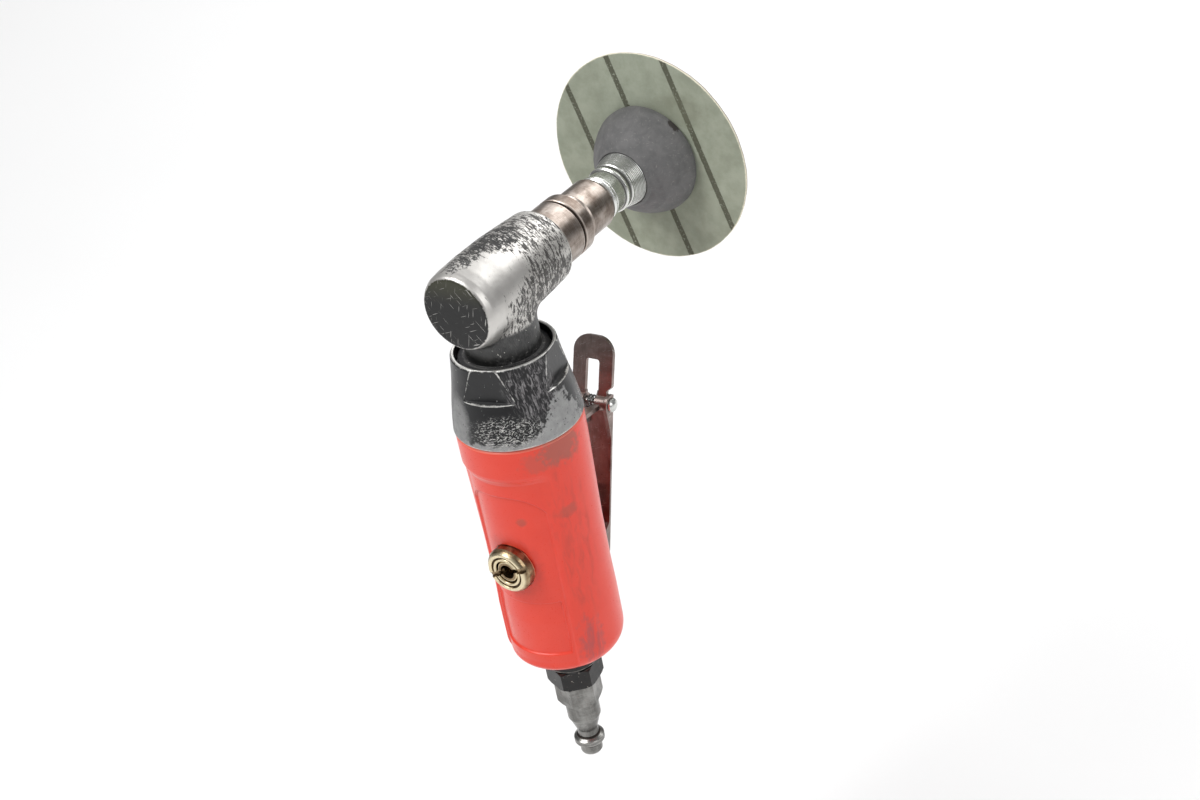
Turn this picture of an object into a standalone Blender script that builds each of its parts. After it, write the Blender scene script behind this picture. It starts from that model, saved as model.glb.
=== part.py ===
"""Right-angle pneumatic die grinder with a quick-change sanding disc.

Frame: metres, origin at the centre of the disc's work face, +Y out of the
spindle, +Z up along the handle towards the head. Every size below is in
millimetres and becomes metres in the helpers. Heights along the handle are
measured from the crossing of the handle axis and the spindle axis, and so are
stations along the spindle.
"""
import math

import bmesh
import bpy
from mathutils import Matrix, Vector

MM = 0.001
GAP = 0.3

# Driving dimensions
DISC_DIAMETER = 76.2
DISC_THICKNESS = 1.0
REACH = 94.0
HEAD_RADIUS = 14.0
HEAD_BACK = -18.0
HEAD_FRONT = 27.1
NECK_RADIUS = 12.4
NUT_TOP = -20.5
NUT_BOTTOM = -47.5
NUT_ACROSS_FLATS = 33.2
NUT_FLAT_TURNS = (13.0, 103.0, 193.0, 283.0)
NUT_LEDGE = -31.8
GRIP_RADIUS = 19.4
GRIP_BOTTOM = -139.2
GRIP_FLARE = 20.0
VALVE_HEIGHT = -94.8
STEM_TIP = 28.0
PLUG_TIP = -189.2
CHUCK_RADIUS = 8.8

# Air motor
CYLINDER_RADIUS = 14.7
CYLINDER_BORE = 11.5
ECCENTRICITY = 1.0
ROTOR_RADIUS = 9.0
ROTOR_TOP = -40.3
ROTOR_BOTTOM = -75.7
VANE_COUNT = 4
VANE_THICKNESS = 1.1
VANE_ROOT = 4.6

# Bevel gears: pitch cones meet where the two axes cross
GEAR_TEETH = 15
PINION_TEETH = 12
GEAR_PITCH_RADIUS = 8.0
PINION_PITCH_RADIUS = 6.4
INNER_SHARE = 0.7

# Throttle lever
LEVER_PIVOT = (15.15, -115.0)
LEVER_TILT = 18.8
LEVER_WIDTH = 16.0
SHEET = 1.4
LEVER_WEB = 7.5
FLANGE_DEPTH = 2.0
EAR_RADIUS = 3.6
TAB_HINGE_ALONG = 54.7
TAB_HINGE_OUT = 5.44
TAB_HEIGHT = 23.0
TAB_LEAN = 2.1
TAB_FOOT = 14.2
FOOT_LIFT = 6.4
PIVOT_PIN_RADIUS = 1.6
TAB_PIN_RADIUS = 1.3
PIN_PLAY = 0.2

# Thickness of a bearing race as a share of the bearing's section
RACE_SHARE = 0.15

# Sides of the round pieces: large, middling, drilled and small
FINE = 24
ROUND = 16
HOLE = 12
SMALL = 10

COLOURS = {
    "worn_alloy": ((0.55, 0.54, 0.52), 0.42, 1.0),
    "black_paint": ((0.03, 0.03, 0.032), 0.45, 0.4),
    "red_plastic": ((0.72, 0.075, 0.05), 0.42, 0.0),
    "tool_steel": ((0.36, 0.33, 0.3), 0.35, 1.0),
    "zinc_steel": ((0.6, 0.6, 0.57), 0.3, 1.0),
    "lever_steel": ((0.32, 0.28, 0.27), 0.25, 1.0),
    "black_oxide": ((0.045, 0.045, 0.045), 0.4, 0.8),
    "brass": ((0.6, 0.44, 0.2), 0.32, 1.0),
    "bearing_steel": ((0.5, 0.5, 0.52), 0.25, 1.0),
    "spring_steel": ((0.3, 0.3, 0.31), 0.35, 1.0),
    "rubber_pad": ((0.07, 0.07, 0.07), 0.75, 0.0),
    "abrasive_cloth": ((0.3, 0.34, 0.25), 0.85, 0.0),
    "nylon": ((0.75, 0.74, 0.7), 0.5, 0.0),
    "nitrile": ((0.015, 0.015, 0.015), 0.6, 0.0),
    "vane_composite": ((0.12, 0.06, 0.03), 0.6, 0.0),
}

SPINDLE_TURN = Matrix.Rotation(math.radians(-90.0), 4, "X")


# Scene helpers

def clear_scene():
    for obj in list(bpy.data.objects):
        bpy.data.objects.remove(obj, do_unlink=True)


def new_collection(name):
    collection = bpy.data.collections.new(name)
    bpy.context.scene.collection.children.link(collection)
    return collection


def material(name):
    found = bpy.data.materials.get(name)
    if found:
        return found
    colour, roughness, metallic = COLOURS[name]
    made = bpy.data.materials.new(name)
    made.use_nodes = True
    shader = made.node_tree.nodes["Principled BSDF"]
    shader.inputs["Base Color"].default_value = (*colour, 1.0)
    shader.inputs["Roughness"].default_value = roughness
    shader.inputs["Metallic"].default_value = metallic
    return made


def at_handle(height=0.0):
    """Placement on the handle axis, local +Z up the handle."""
    return Matrix.Translation((0.0, -REACH * MM, height * MM))


def at_spindle():
    """Placement on the spindle axis, local +Z out of the spindle."""
    return at_handle() @ SPINDLE_TURN


def at_valve():
    """Placement on the throttle valve's cross axis, local +Z to the lever."""
    return at_handle(VALVE_HEIGHT) @ SPINDLE_TURN


def at_lever():
    """Placement at the lever's pivot: local +Y outwards, +Z up the lever."""
    pivot = Matrix.Translation((0.0, (LEVER_PIVOT[0] - REACH) * MM, LEVER_PIVOT[1] * MM))
    return pivot @ Matrix.Rotation(math.radians(-LEVER_TILT), 4, "X")


def add_object(name, mesh, placement, finish=None):
    obj = bpy.data.objects.new(name, mesh)
    if finish:
        mesh.materials.append(material(finish))
        PARTS.objects.link(obj)
    else:
        CUTTERS.objects.link(obj)
        obj.hide_render = True
        obj.display_type = "WIRE"
    obj.matrix_world = placement
    return obj


def turned(name, profile, placement, finish=None, steps=ROUND):
    """Solid of revolution: (radius, height) points down the outer side.

    A profile that starts and ends on the axis is left open, any other closes.
    """
    mesh = bpy.data.meshes.new(name)
    points = [(radius * MM, 0.0, height * MM) for radius, height in profile]
    count = len(points)
    edges = [(i, i + 1) for i in range(count - 1)]
    if profile[0][0] > 0.0:
        edges.append((count - 1, 0))
    mesh.from_pydata(points, edges, [])
    obj = add_object(name, mesh, placement, finish)
    screw = obj.modifiers.new("turn", "SCREW")
    screw.steps = steps
    screw.render_steps = steps
    screw.use_merge_vertices = True
    screw.merge_threshold = 0.00001
    screw.use_smooth_shade = True
    return obj


def ring(name, outer, inner, top, bottom, placement, finish=None, steps=ROUND):
    profile = [(outer, top), (outer, bottom), (inner, bottom), (inner, top)]
    return turned(name, profile, placement, finish, steps)


def rod(name, radius, top, bottom, placement, finish=None, steps=SMALL):
    profile = [(0.0, top), (radius, top), (radius, bottom), (0.0, bottom)]
    return turned(name, profile, placement, finish, steps)


def block(name, size, centre, placement, finish=None):
    mesh = bpy.data.meshes.new(name)
    shape = bmesh.new()
    bmesh.ops.create_cube(shape, size=1.0)
    scaling = Matrix.Diagonal((size[0] * MM, size[1] * MM, size[2] * MM, 1.0))
    moving = Matrix.Translation(Vector(centre) * MM)
    bmesh.ops.transform(shape, matrix=moving @ scaling, verts=shape.verts)
    shape.to_mesh(mesh)
    shape.free()
    return add_object(name, mesh, placement, finish)


def prism(name, corner_radius, sides, top, bottom, placement, turn=0.0, finish=None):
    """Upright prism about the local Z axis, such as a hexagon."""
    mesh = bpy.data.meshes.new(name)
    shape = bmesh.new()
    bmesh.ops.create_cone(
        shape,
        cap_ends=True,
        segments=sides,
        radius1=corner_radius * MM,
        radius2=corner_radius * MM,
        depth=(top - bottom) * MM,
    )
    spin = Matrix.Rotation(math.radians(turn), 4, "Z")
    lift = Matrix.Translation((0.0, 0.0, 0.5 * (top + bottom) * MM))
    bmesh.ops.transform(shape, matrix=lift @ spin, verts=shape.verts)
    shape.to_mesh(mesh)
    shape.free()
    return add_object(name, mesh, placement, finish)


def to_solid_mesh(curve_object, finish=None):
    """Turn a filled curve into a welded mesh object in the same place."""
    bpy.context.view_layer.update()
    graph = bpy.context.evaluated_depsgraph_get()
    mesh = bpy.data.meshes.new_from_object(curve_object.evaluated_get(graph))
    mesh.materials.clear()
    shape = bmesh.new()
    shape.from_mesh(mesh)
    bmesh.ops.remove_doubles(shape, verts=shape.verts, dist=0.00001)
    bmesh.ops.recalc_face_normals(shape, faces=shape.faces)
    shape.to_mesh(mesh)
    shape.free()
    name = curve_object.name
    placement = curve_object.matrix_world.copy()
    bpy.data.objects.remove(curve_object, do_unlink=True)
    return add_object(name, mesh, placement, finish)


def plate(name, outline, thickness, placement, finish=None):
    """Flat plate: outline in the local XY plane, thickness along local Z."""
    curve = bpy.data.curves.new(name, "CURVE")
    curve.dimensions = "2D"
    curve.fill_mode = "BOTH"
    curve.extrude = 0.5 * thickness * MM
    spline = curve.splines.new("POLY")
    spline.points.add(len(outline) - 1)
    for point, (across, along) in zip(spline.points, outline):
        point.co = (across * MM, along * MM, 0.0, 1.0)
    spline.use_cyclic_u = True
    obj = bpy.data.objects.new(name, curve)
    CUTTERS.objects.link(obj)
    obj.matrix_world = placement
    return to_solid_mesh(obj, finish)


def wire(name, points, radius, placement, finish):
    """Round wire along a polyline, capped at both ends."""
    curve = bpy.data.curves.new(name, "CURVE")
    curve.dimensions = "3D"
    curve.bevel_depth = radius * MM
    curve.bevel_resolution = 2
    curve.use_fill_caps = True
    spline = curve.splines.new("POLY")
    spline.points.add(len(points) - 1)
    for point, place in zip(spline.points, points):
        point.co = (place[0] * MM, place[1] * MM, place[2] * MM, 1.0)
    obj = bpy.data.objects.new(name, curve)
    CUTTERS.objects.link(obj)
    obj.matrix_world = placement
    return to_solid_mesh(obj, finish)


def boolean(obj, other, operation):
    modifier = obj.modifiers.new(operation.lower() + "_" + other.name, "BOOLEAN")
    modifier.operation = operation
    modifier.object = other
    modifier.solver = "EXACT"


def cut(obj, *cutters):
    for cutter in cutters:
        boolean(obj, cutter, "DIFFERENCE")


def join(obj, *helpers):
    for helper in helpers:
        boolean(obj, helper, "UNION")


def arc(centre, radius, start, end, count):
    """Points along an arc, angles in degrees from the first axis."""
    points = []
    for i in range(count + 1):
        angle = math.radians(start + (end - start) * i / count)
        across = centre[0] + radius * math.cos(angle)
        along = centre[1] + radius * math.sin(angle)
        points.append((across, along))
    return points


def across_x(placement, x, y, z):
    """Placement whose local Z runs along the parent's X through a point."""
    offset = Matrix.Translation(Vector((x, y, z)) * MM)
    return placement @ offset @ Matrix.Rotation(math.radians(90.0), 4, "Y")


def side_plate(placement, x):
    """Placement that lays a plate in the parent's YZ plane at x."""
    swap = Matrix(((0, 0, 1, x * MM), (1, 0, 0, 0), (0, 1, 0, 0), (0, 0, 0, 1)))
    return placement @ swap


def ball_bearing(name, outer, inner, top, bottom, placement, balls):
    """Outer race, inner race, and a cage that carries the balls."""
    middle_radius = 0.5 * (outer + inner)
    middle = 0.5 * (top + bottom)
    race = RACE_SHARE * (outer - inner)
    ring(name + "_outer_race", outer, outer - race, top, bottom, placement, "bearing_steel")
    ring(name + "_inner_race", inner + race, inner, top, bottom, placement, "bearing_steel")
    ball_radius = 0.5 * (outer - inner) - race - GAP
    cage_half = 0.4 * ball_radius
    cage = ring(
        name + "_ball_cage",
        middle_radius + cage_half,
        middle_radius - cage_half,
        middle + 0.5 * cage_half + 0.3,
        middle - 0.5 * cage_half - 0.3,
        placement,
        "bearing_steel",
        SMALL,
    )
    mesh = bpy.data.meshes.new(name + "_balls")
    shape = bmesh.new()
    for i in range(balls):
        angle = 2.0 * math.pi * (i + 0.25) / balls
        place = Vector((middle_radius * math.cos(angle), middle_radius * math.sin(angle), middle))
        bmesh.ops.create_uvsphere(
            shape,
            u_segments=6,
            v_segments=4,
            radius=ball_radius * MM,
            matrix=Matrix.Translation(place * MM),
        )
    shape.to_mesh(mesh)
    shape.free()
    join(cage, add_object(name + "_balls", mesh, placement))


# Head

def make_angle_head():
    head = turned(
        "angle_head",
        [
            (0.0, HEAD_FRONT),
            (12.4, HEAD_FRONT),
            (12.9, HEAD_FRONT - 0.7),
            (13.4, 19.0),
            (HEAD_RADIUS, 8.0),
            (HEAD_RADIUS, -4.0),
            (13.7, -12.0),
            (13.3, -15.6),
            (12.6, -17.3),
            (11.9, HEAD_BACK),
            (0.0, HEAD_BACK),
        ],
        at_spindle(),
        "worn_alloy",
        FINE,
    )
    neck = turned(
        "neck_form",
        [
            (0.0, -3.0),
            (11.0, -3.0),
            (NECK_RADIUS, -12.5),
            (NECK_RADIUS, -21.6),
            (15.0, -22.4),
            (15.0, -23.6),
            (13.0, -24.4),
            (13.0, -26.9),
            (15.2, -26.9),
            (15.2, -30.6),
            (13.4, -30.6),
            (13.4, -33.6),
            (0.0, -33.6),
        ],
        at_handle(),
        steps=FINE,
    )
    spindle_bore = turned(
        "spindle_bore",
        [(0.0, 40.0), (11.2, 40.0), (11.2, -8.0), (7.0, -8.0), (7.0, -14.2), (0.0, -14.2)],
        at_spindle(),
        steps=FINE,
    )
    pinion_bore = turned(
        "pinion_bore",
        [(0.0, 0.0), (8.3, 0.0), (8.3, -19.8), (5.2, -19.8), (5.2, -40.0), (0.0, -40.0)],
        at_handle(),
    )
    join(head, neck)
    cut(head, spindle_bore, pinion_bore)


def gear_outline(teeth, root, pitch, tip):
    """Tooth outline with straight flanks, thinned for running backlash."""
    half_widths = ((root, 0.30), (pitch, 0.205), (tip, 0.085))
    points = []
    for i in range(teeth):
        centre = 360.0 * i / teeth
        tooth = 360.0 / teeth
        rising = [(radius, centre - share * tooth) for radius, share in half_widths]
        falling = [(radius, centre + share * tooth) for radius, share in reversed(half_widths)]
        for radius, angle in rising + falling:
            turn = math.radians(angle)
            points.append((radius * math.cos(turn), radius * math.sin(turn)))
    return points


def bevel_teeth(name, teeth, pitch_radius, cone_depth, placement, phase):
    """Toothed frustum whose flanks all run to the crossing of the axes."""
    pitch_angle = math.atan2(pitch_radius, cone_depth)
    tip = cone_depth * math.tan(pitch_angle + math.radians(4.6))
    root = cone_depth * math.tan(pitch_angle - math.radians(7.4))
    mesh = bpy.data.meshes.new(name)
    shape = bmesh.new()
    outline = gear_outline(teeth, root, pitch_radius, tip)
    outer = [shape.verts.new((x * MM, y * MM, cone_depth * MM)) for x, y in outline]
    face = shape.faces.new(outer)
    bmesh.ops.extrude_face_region(shape, geom=[face])
    inner = [vert for vert in shape.verts if vert not in outer]
    bmesh.ops.transform(shape, matrix=Matrix.Scale(INNER_SHARE, 4), verts=inner)
    bmesh.ops.transform(
        shape, matrix=Matrix.Rotation(math.radians(phase), 4, "Z"), verts=shape.verts
    )
    bmesh.ops.recalc_face_normals(shape, faces=shape.faces)
    shape.to_mesh(mesh)
    shape.free()
    return add_object(name, mesh, placement, None)


def make_gears():
    gear = turned(
        "bevel_gear",
        [
            (5.6, 9.6),
            (5.6, 6.1),
            (4.2, 6.1),
            (4.2, 9.6),
        ],
        at_spindle(),
        "tool_steel",
    )
    gear_teeth = bevel_teeth(
        "gear_teeth_form",
        GEAR_TEETH,
        GEAR_PITCH_RADIUS,
        PINION_PITCH_RADIUS,
        at_spindle(),
        phase=90.0,
    )
    join(gear, gear_teeth)
    cut(gear, rod("gear_bore", 4.2, 12.0, 0.0, at_spindle(), steps=ROUND))

    turn_down = Matrix.Rotation(math.radians(180.0), 4, "X")
    pinion = turned(
        "bevel_pinion",
        [
            (0.0, -7.7),
            (4.5, -7.7),
            (4.5, -10.6),
            (3.7, -10.9),
            (3.7, -20.0),
            (3.3, -24.0),
            (3.3, -29.0),
            (0.0, -29.0),
        ],
        at_handle(),
        "tool_steel",
        SMALL,
    )
    pinion_teeth = bevel_teeth(
        "pinion_teeth_form",
        PINION_TEETH,
        PINION_PITCH_RADIUS,
        GEAR_PITCH_RADIUS,
        at_handle() @ turn_down,
        phase=90.0 + 180.0 / PINION_TEETH,
    )
    drive_end = prism("pinion_drive_form", 2.8, 6, -28.5, -43.0, at_handle())
    join(pinion, pinion_teeth, drive_end)
    ball_bearing("pinion_bearing", 8.0, 4.0, -11.6, -17.2, at_handle(), 6)
    clip = ring("pinion_circlip", 5.2, 4.0, -17.6, -18.4, at_handle(), "spring_steel", SMALL)
    cut(clip, block("circlip_gap", (2.4, 4.0, 3.0), (0.0, 5.0, -18.0), at_handle()))


def make_spindle():
    turned(
        "spindle",
        [
            (0.0, 29.0),
            (4.3, 29.0),
            (4.3, 39.0),
            (5.7, 56.6),
            (6.4, 56.6),
            (6.6, 56.2),
            (6.6, 44.6),
            (9.4, 44.5),
            (10.5, 43.2),
            (10.5, 39.0),
            (10.0, 38.6),
            (10.0, 37.8),
            (10.5, 37.4),
            (10.5, 28.4),
            (9.9, 27.8),
            (6.9, 27.8),
            (6.9, 21.6),
            (5.0, 21.6),
            (5.0, 10.2),
            (3.9, 9.9),
            (3.9, -7.4),
            (3.0, -7.8),
            (3.0, -13.7),
            (0.0, -13.7),
        ],
        at_spindle(),
        "tool_steel",
        FINE,
    )
    ball_bearing("spindle_front_bearing", 10.9, 5.3, 20.6, 12.4, at_spindle(), 8)
    ring("rear_needle_shell", 6.7, 5.5, -8.6, -13.6, at_spindle(), "bearing_steel")
    ring("rear_needle_cage", 5.1, 3.3, -9.0, -13.2, at_spindle(), "bearing_steel", SMALL)
    turned(
        "bearing_cap",
        [
            (10.6, 27.5),
            (10.9, 27.1),
            (10.9, 21.2),
            (8.6, 21.2),
            (8.6, 22.6),
            (7.3, 22.6),
            (7.3, 27.0),
            (7.8, 27.5),
        ],
        at_spindle(),
        "black_oxide",
    )


def make_chuck():
    collet = turned(
        "collet",
        [
            (5.3, 55.4),
            (4.0, 39.2),
            (4.0, 31.0),
            (3.5, 31.0),
            (3.5, 55.4),
        ],
        at_spindle(),
        "bearing_steel",
    )
    slits = block("collet_slit_a", (0.7, 14.0, 22.0), (0.0, 0.0, 46.5), at_spindle())
    cross = block("collet_slit_b", (14.0, 0.7, 22.0), (0.0, 0.0, 46.5), at_spindle())
    cut(collet, slits, cross)
    turned(
        "collet_nut",
        [
            (7.0, 59.2),
            (8.3, 58.7),
            (CHUCK_RADIUS, 57.4),
            (CHUCK_RADIUS, 46.0),
            (CHUCK_RADIUS - 0.6, 45.2),
            (6.9, 45.2),
            (6.9, 57.0),
            (4.2, 57.4),
            (4.2, 59.2),
        ],
        at_spindle(),
        "tool_steel",
        ROUND,
    )


def make_disc_assembly():
    turned(
        "pad_hub",
        [
            (0.0, 82.0),
            (4.5, 82.0),
            (4.5, 90.9),
            (6.2, 90.9),
            (6.2, 78.2),
            (9.2, 78.2),
            (9.6, 77.8),
            (9.6, 76.4),
            (8.3, 70.0),
            (7.8, 69.6),
            (7.8, 68.6),
            (8.2, 68.2),
            (8.2, 67.4),
            (7.4, 66.8),
            (7.6, 61.8),
            (7.1, 61.4),
            (8.0, 61.0),
            (8.0, 60.2),
            (7.4, 59.6),
            (3.175, 59.6),
            (3.175, 32.0),
            (0.0, 32.0),
        ],
        at_spindle(),
        "zinc_steel",
        ROUND,
    )
    turned(
        "backing_pad",
        [
            (9.0, 92.7),
            (18.9, 92.7),
            (19.3, 92.2),
            (19.3, 90.4),
            (18.7, 88.4),
            (17.2, 85.0),
            (15.2, 81.8),
            (12.9, 79.2),
            (10.8, 77.4),
            (10.2, 76.4),
            (9.95, 76.0),
            (9.95, 78.5),
            (6.5, 78.5),
            (6.5, 91.2),
            (9.0, 91.2),
        ],
        at_spindle(),
        "rubber_pad",
        FINE,
    )
    turned(
        "disc_button",
        [
            (0.0, 92.7),
            (8.6, 92.7),
            (4.1, 92.0),
            (4.1, 83.2),
            (0.0, 82.6),
        ],
        at_spindle(),
        "nylon",
        SMALL,
    )
    half = 0.5 * DISC_DIAMETER
    turned(
        "sanding_disc",
        [
            (0.0, REACH),
            (half, REACH),
            (half, REACH - DISC_THICKNESS),
            (0.0, REACH - DISC_THICKNESS),
        ],
        at_spindle(),
        "abrasive_cloth",
        48,
    )


# Clamp nut and grip

def make_clamp_nut():
    nut = turned(
        "clamp_nut",
        [
            (15.9, NUT_TOP),
            (16.7, NUT_TOP),
            (17.2, NUT_TOP - 0.6),
            (18.0, -27.0),
            (19.1, -33.0),
            (20.1, -38.0),
            (20.9, -43.0),
            (21.4, NUT_BOTTOM + 0.6),
            (21.0, NUT_BOTTOM),
            (17.1, NUT_BOTTOM),
            (17.1, -32.6),
            (15.5, -32.6),
            (15.5, -26.5),
            (13.4, -26.5),
            (13.4, -24.9),
            (15.9, -24.9),
        ],
        at_handle(),
        "black_paint",
        FINE,
    )
    flat = 0.5 * NUT_ACROSS_FLATS
    depth = 8.0
    height = 40.0
    for i, turn in enumerate(NUT_FLAT_TURNS):
        size = (depth, 26.0, height)
        centre = (flat + 0.5 * depth, 0.0, NUT_LEDGE + 0.5 * height)
        placement = at_handle() @ Matrix.Rotation(math.radians(turn), 4, "Z")
        cut(nut, block("nut_flat_%d" % (i + 1), size, centre, placement))


def make_grip():
    grip = turned(
        "grip_housing",
        [
            (20.6, -47.9),
            (21.1, -48.4),
            (21.0, -58.8),
            (20.2, -60.4),
            (GRIP_RADIUS, -61.6),
            (GRIP_RADIUS, -108.0),
            (GRIP_FLARE, -118.0),
            (GRIP_FLARE, -133.5),
            (19.3, -136.2),
            (17.4, -138.3),
            (14.5, GRIP_BOTTOM),
            (7.6, GRIP_BOTTOM),
            (7.6, -124.0),
            (4.5, -124.0),
            (4.5, -83.4),
            (17.2, -83.4),
            (17.2, -47.9),
        ],
        at_handle(),
        "red_plastic",
        FINE,
    )
    slot_floor = LEVER_PIVOT[0] - 3.8
    slot_top = LEVER_PIVOT[1] + 10.0
    slot_foot = LEVER_PIVOT[1] - 4.2
    slot_depth = 20.0
    lever_slot = block(
        "lever_slot",
        (LEVER_WIDTH + 4.0 * GAP, slot_depth, slot_top - slot_foot),
        (0.0, slot_floor + 0.5 * slot_depth, 0.5 * (slot_top + slot_foot)),
        at_handle(),
    )
    pin_hole = rod(
        "grip_pin_hole",
        PIVOT_PIN_RADIUS + PIN_PLAY,
        30.0,
        -30.0,
        across_x(at_handle(), 0.0, *LEVER_PIVOT),
        steps=SMALL,
    )
    valve_hole = turned(
        "valve_cross_hole",
        [
            (0.0, 40.0),
            (2.2, 40.0),
            (2.2, 14.0),
            (4.9, 14.0),
            (4.9, 11.0),
            (7.0, 11.0),
            (7.0, -17.5),
            (9.5, -17.5),
            (9.5, -40.0),
            (0.0, -40.0),
        ],
        at_valve(),
    )
    cut(grip, valve_hole, lever_slot, pin_hole)
    for side in (-1, 1):
        for i, turn in enumerate((-22.0, 22.0)):
            angle = math.radians(turn)
            middle = (side * 13.0 * math.cos(angle), 13.0 * math.sin(angle))
            spot = at_handle() @ Matrix.Translation(Vector((middle[0], middle[1], 0.0)) * MM)
            name = "exhaust_hole_%s_%d" % ("left" if side < 0 else "right", i + 1)
            cut(grip, rod(name, 2.1, -80.0, -150.0, spot, steps=HOLE))


def make_motor():
    turned(
        "motor_sleeve",
        [
            (16.4, -33.4),
            (16.8, -33.8),
            (16.8, -82.6),
            (16.4, -83.0),
            (12.9, -83.0),
            (12.9, -81.6),
            (15.0, -81.6),
            (15.0, -33.4),
        ],
        at_handle(),
        "tool_steel",
        FINE,
    )
    turned(
        "neck_seal_ring",
        [(15.2, -30.9), (15.2, -32.3), (13.8, -32.3), (13.8, -30.9)],
        at_handle(),
        "nitrile",
        ROUND,
    )
    turned(
        "front_end_plate",
        [
            (14.7, -34.1),
            (14.7, -39.7),
            (5.2, -39.7),
            (5.2, -39.0),
            (9.4, -39.0),
            (9.4, -34.1),
        ],
        at_handle(),
        "bearing_steel",
        ROUND,
    )
    ball_bearing("rotor_front_bearing", 9.1, 4.9, -34.5, -38.6, at_handle(), 7)

    offset = at_handle() @ Matrix.Translation((ECCENTRICITY * MM, 0.0, 0.0))
    cylinder = rod(
        "motor_cylinder", CYLINDER_RADIUS, -40.0, -76.0, at_handle(), "tool_steel", FINE
    )
    cut(cylinder, rod("cylinder_bore", CYLINDER_BORE, -30.0, -90.0, offset, steps=FINE))
    for i in range(3):
        port = Matrix.Translation((0.0, 0.0, (-49.0 - 9.0 * i) * MM))
        turn = Matrix.Rotation(math.radians(90.0), 4, "Y")
        cut(cylinder, rod("port_%d" % (i + 1), 1.6, 20.0, 8.0, at_handle() @ port @ turn, steps=HOLE))

    rotor = turned(
        "rotor",
        [
            (0.0, -34.3),
            (4.6, -34.3),
            (4.6, ROTOR_TOP),
            (ROTOR_RADIUS, ROTOR_TOP),
            (ROTOR_RADIUS, ROTOR_BOTTOM),
            (2.6, ROTOR_BOTTOM),
            (2.6, -81.4),
            (0.0, -81.4),
        ],
        at_handle(),
        "tool_steel",
        ROUND,
    )
    cut(rotor, prism("rotor_socket", 3.25, 6, -30.0, -43.6, at_handle()))
    slot_root = VANE_ROOT - GAP
    for i in range(VANE_COUNT):
        turn = Matrix.Rotation(math.radians(45.0 + 360.0 * i / VANE_COUNT), 4, "Z")
        placement = at_handle() @ turn
        middle = 0.5 * (slot_root + ROTOR_RADIUS + 2.0)
        height = 0.5 * (ROTOR_TOP + ROTOR_BOTTOM)
        size = (ROTOR_RADIUS + 2.0 - slot_root, VANE_THICKNESS + 2.0 * GAP, 40.0)
        cut(rotor, block("rotor_slot_%d" % (i + 1), size, (middle, 0.0, height), placement))
        vane_size = (
            ROTOR_RADIUS - VANE_ROOT,
            VANE_THICKNESS,
            ROTOR_TOP - ROTOR_BOTTOM - GAP,
        )
        vane_centre = (0.5 * (ROTOR_RADIUS + VANE_ROOT), 0.0, height)
        block("vane_%d" % (i + 1), vane_size, vane_centre, placement, "vane_composite")

    turned(
        "rear_end_plate",
        [
            (14.7, -76.3),
            (14.7, -81.3),
            (6.6, -81.3),
            (6.6, -77.6),
            (3.4, -77.6),
            (3.4, -76.3),
        ],
        at_handle(),
        "bearing_steel",
        ROUND,
    )
    ball_bearing("rotor_rear_bearing", 6.3, 2.9, -77.9, -81.0, at_handle(), 7)


# Throttle valve, regulator and air inlet

def make_valve():
    bushing = turned(
        "valve_bushing",
        [
            (6.7, 10.6),
            (6.7, -11.4),
            (4.4, -11.4),
            (4.4, 4.4),
            (2.3, 4.4),
            (2.3, 10.6),
        ],
        at_valve(),
        "brass",
        ROUND,
    )
    for name, height in (("bushing_feed", -4.0), ("bushing_outlet", 2.0)):
        spot = Matrix.Translation((0.0, 0.0, height * MM))
        turn = Matrix.Rotation(math.radians(-90.0 if height < 0.0 else 90.0), 4, "X")
        cut(bushing, rod(name, 2.0, 12.0, 0.0, at_valve() @ spot @ turn, steps=HOLE))
    turned(
        "valve_stem",
        [
            (0.0, STEM_TIP),
            (1.1, STEM_TIP),
            (1.6, STEM_TIP - 0.6),
            (1.6, 4.6),
            (1.6, 3.6),
            (3.4, 3.0),
            (3.9, 2.4),
            (3.9, 0.2),
            (1.4, 0.2),
            (1.4, -3.0),
            (0.0, -3.0),
        ],
        at_valve(),
        "zinc_steel",
        SMALL,
    )
    turns = 4
    per_turn = 8
    bottom = -10.4
    top = -0.6
    points = []
    for i in range(turns * per_turn + 1):
        angle = 2.0 * math.pi * i / per_turn
        height = bottom + (top - bottom) * i / (turns * per_turn)
        points.append((2.9 * math.cos(angle), 2.9 * math.sin(angle), height))
    wire("valve_spring", points, 0.45, at_valve(), "spring_steel")
    ring("stem_seal_ring", 4.6, 1.9, 13.6, 12.2, at_valve(), "nitrile", SMALL)


def make_regulator():
    plug = turned(
        "regulator_plug",
        [
            (4.3, -11.8),
            (6.7, -11.8),
            (6.7, -17.8),
            (9.2, -17.8),
            (9.2, -20.8),
            (8.6, -21.8),
            (7.6, -22.9),
            (4.3, -22.9),
        ],
        at_valve(),
        "brass",
        ROUND,
    )
    slot_turn = Matrix.Rotation(math.radians(-20.0), 4, "Z")
    slot = block(
        "plug_slot", (22.0, 1.8, 3.0), (0.0, 0.0, -22.9), at_valve() @ slot_turn
    )
    cut(plug, slot)
    spool = turned(
        "regulator_spool",
        [
            (0.0, -12.0),
            (4.0, -12.0),
            (4.0, -21.6),
            (3.6, -22.0),
            (0.0, -22.0),
        ],
        at_valve(),
        "brass",
        SMALL,
    )
    cut(spool, block("spool_slot", (10.0, 1.4, 3.0), (0.0, 0.0, -22.0), at_valve() @ slot_turn))
    cut(spool, rod("spool_pocket", 2.6, 0.0, -15.0, at_valve(), steps=SMALL))


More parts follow.
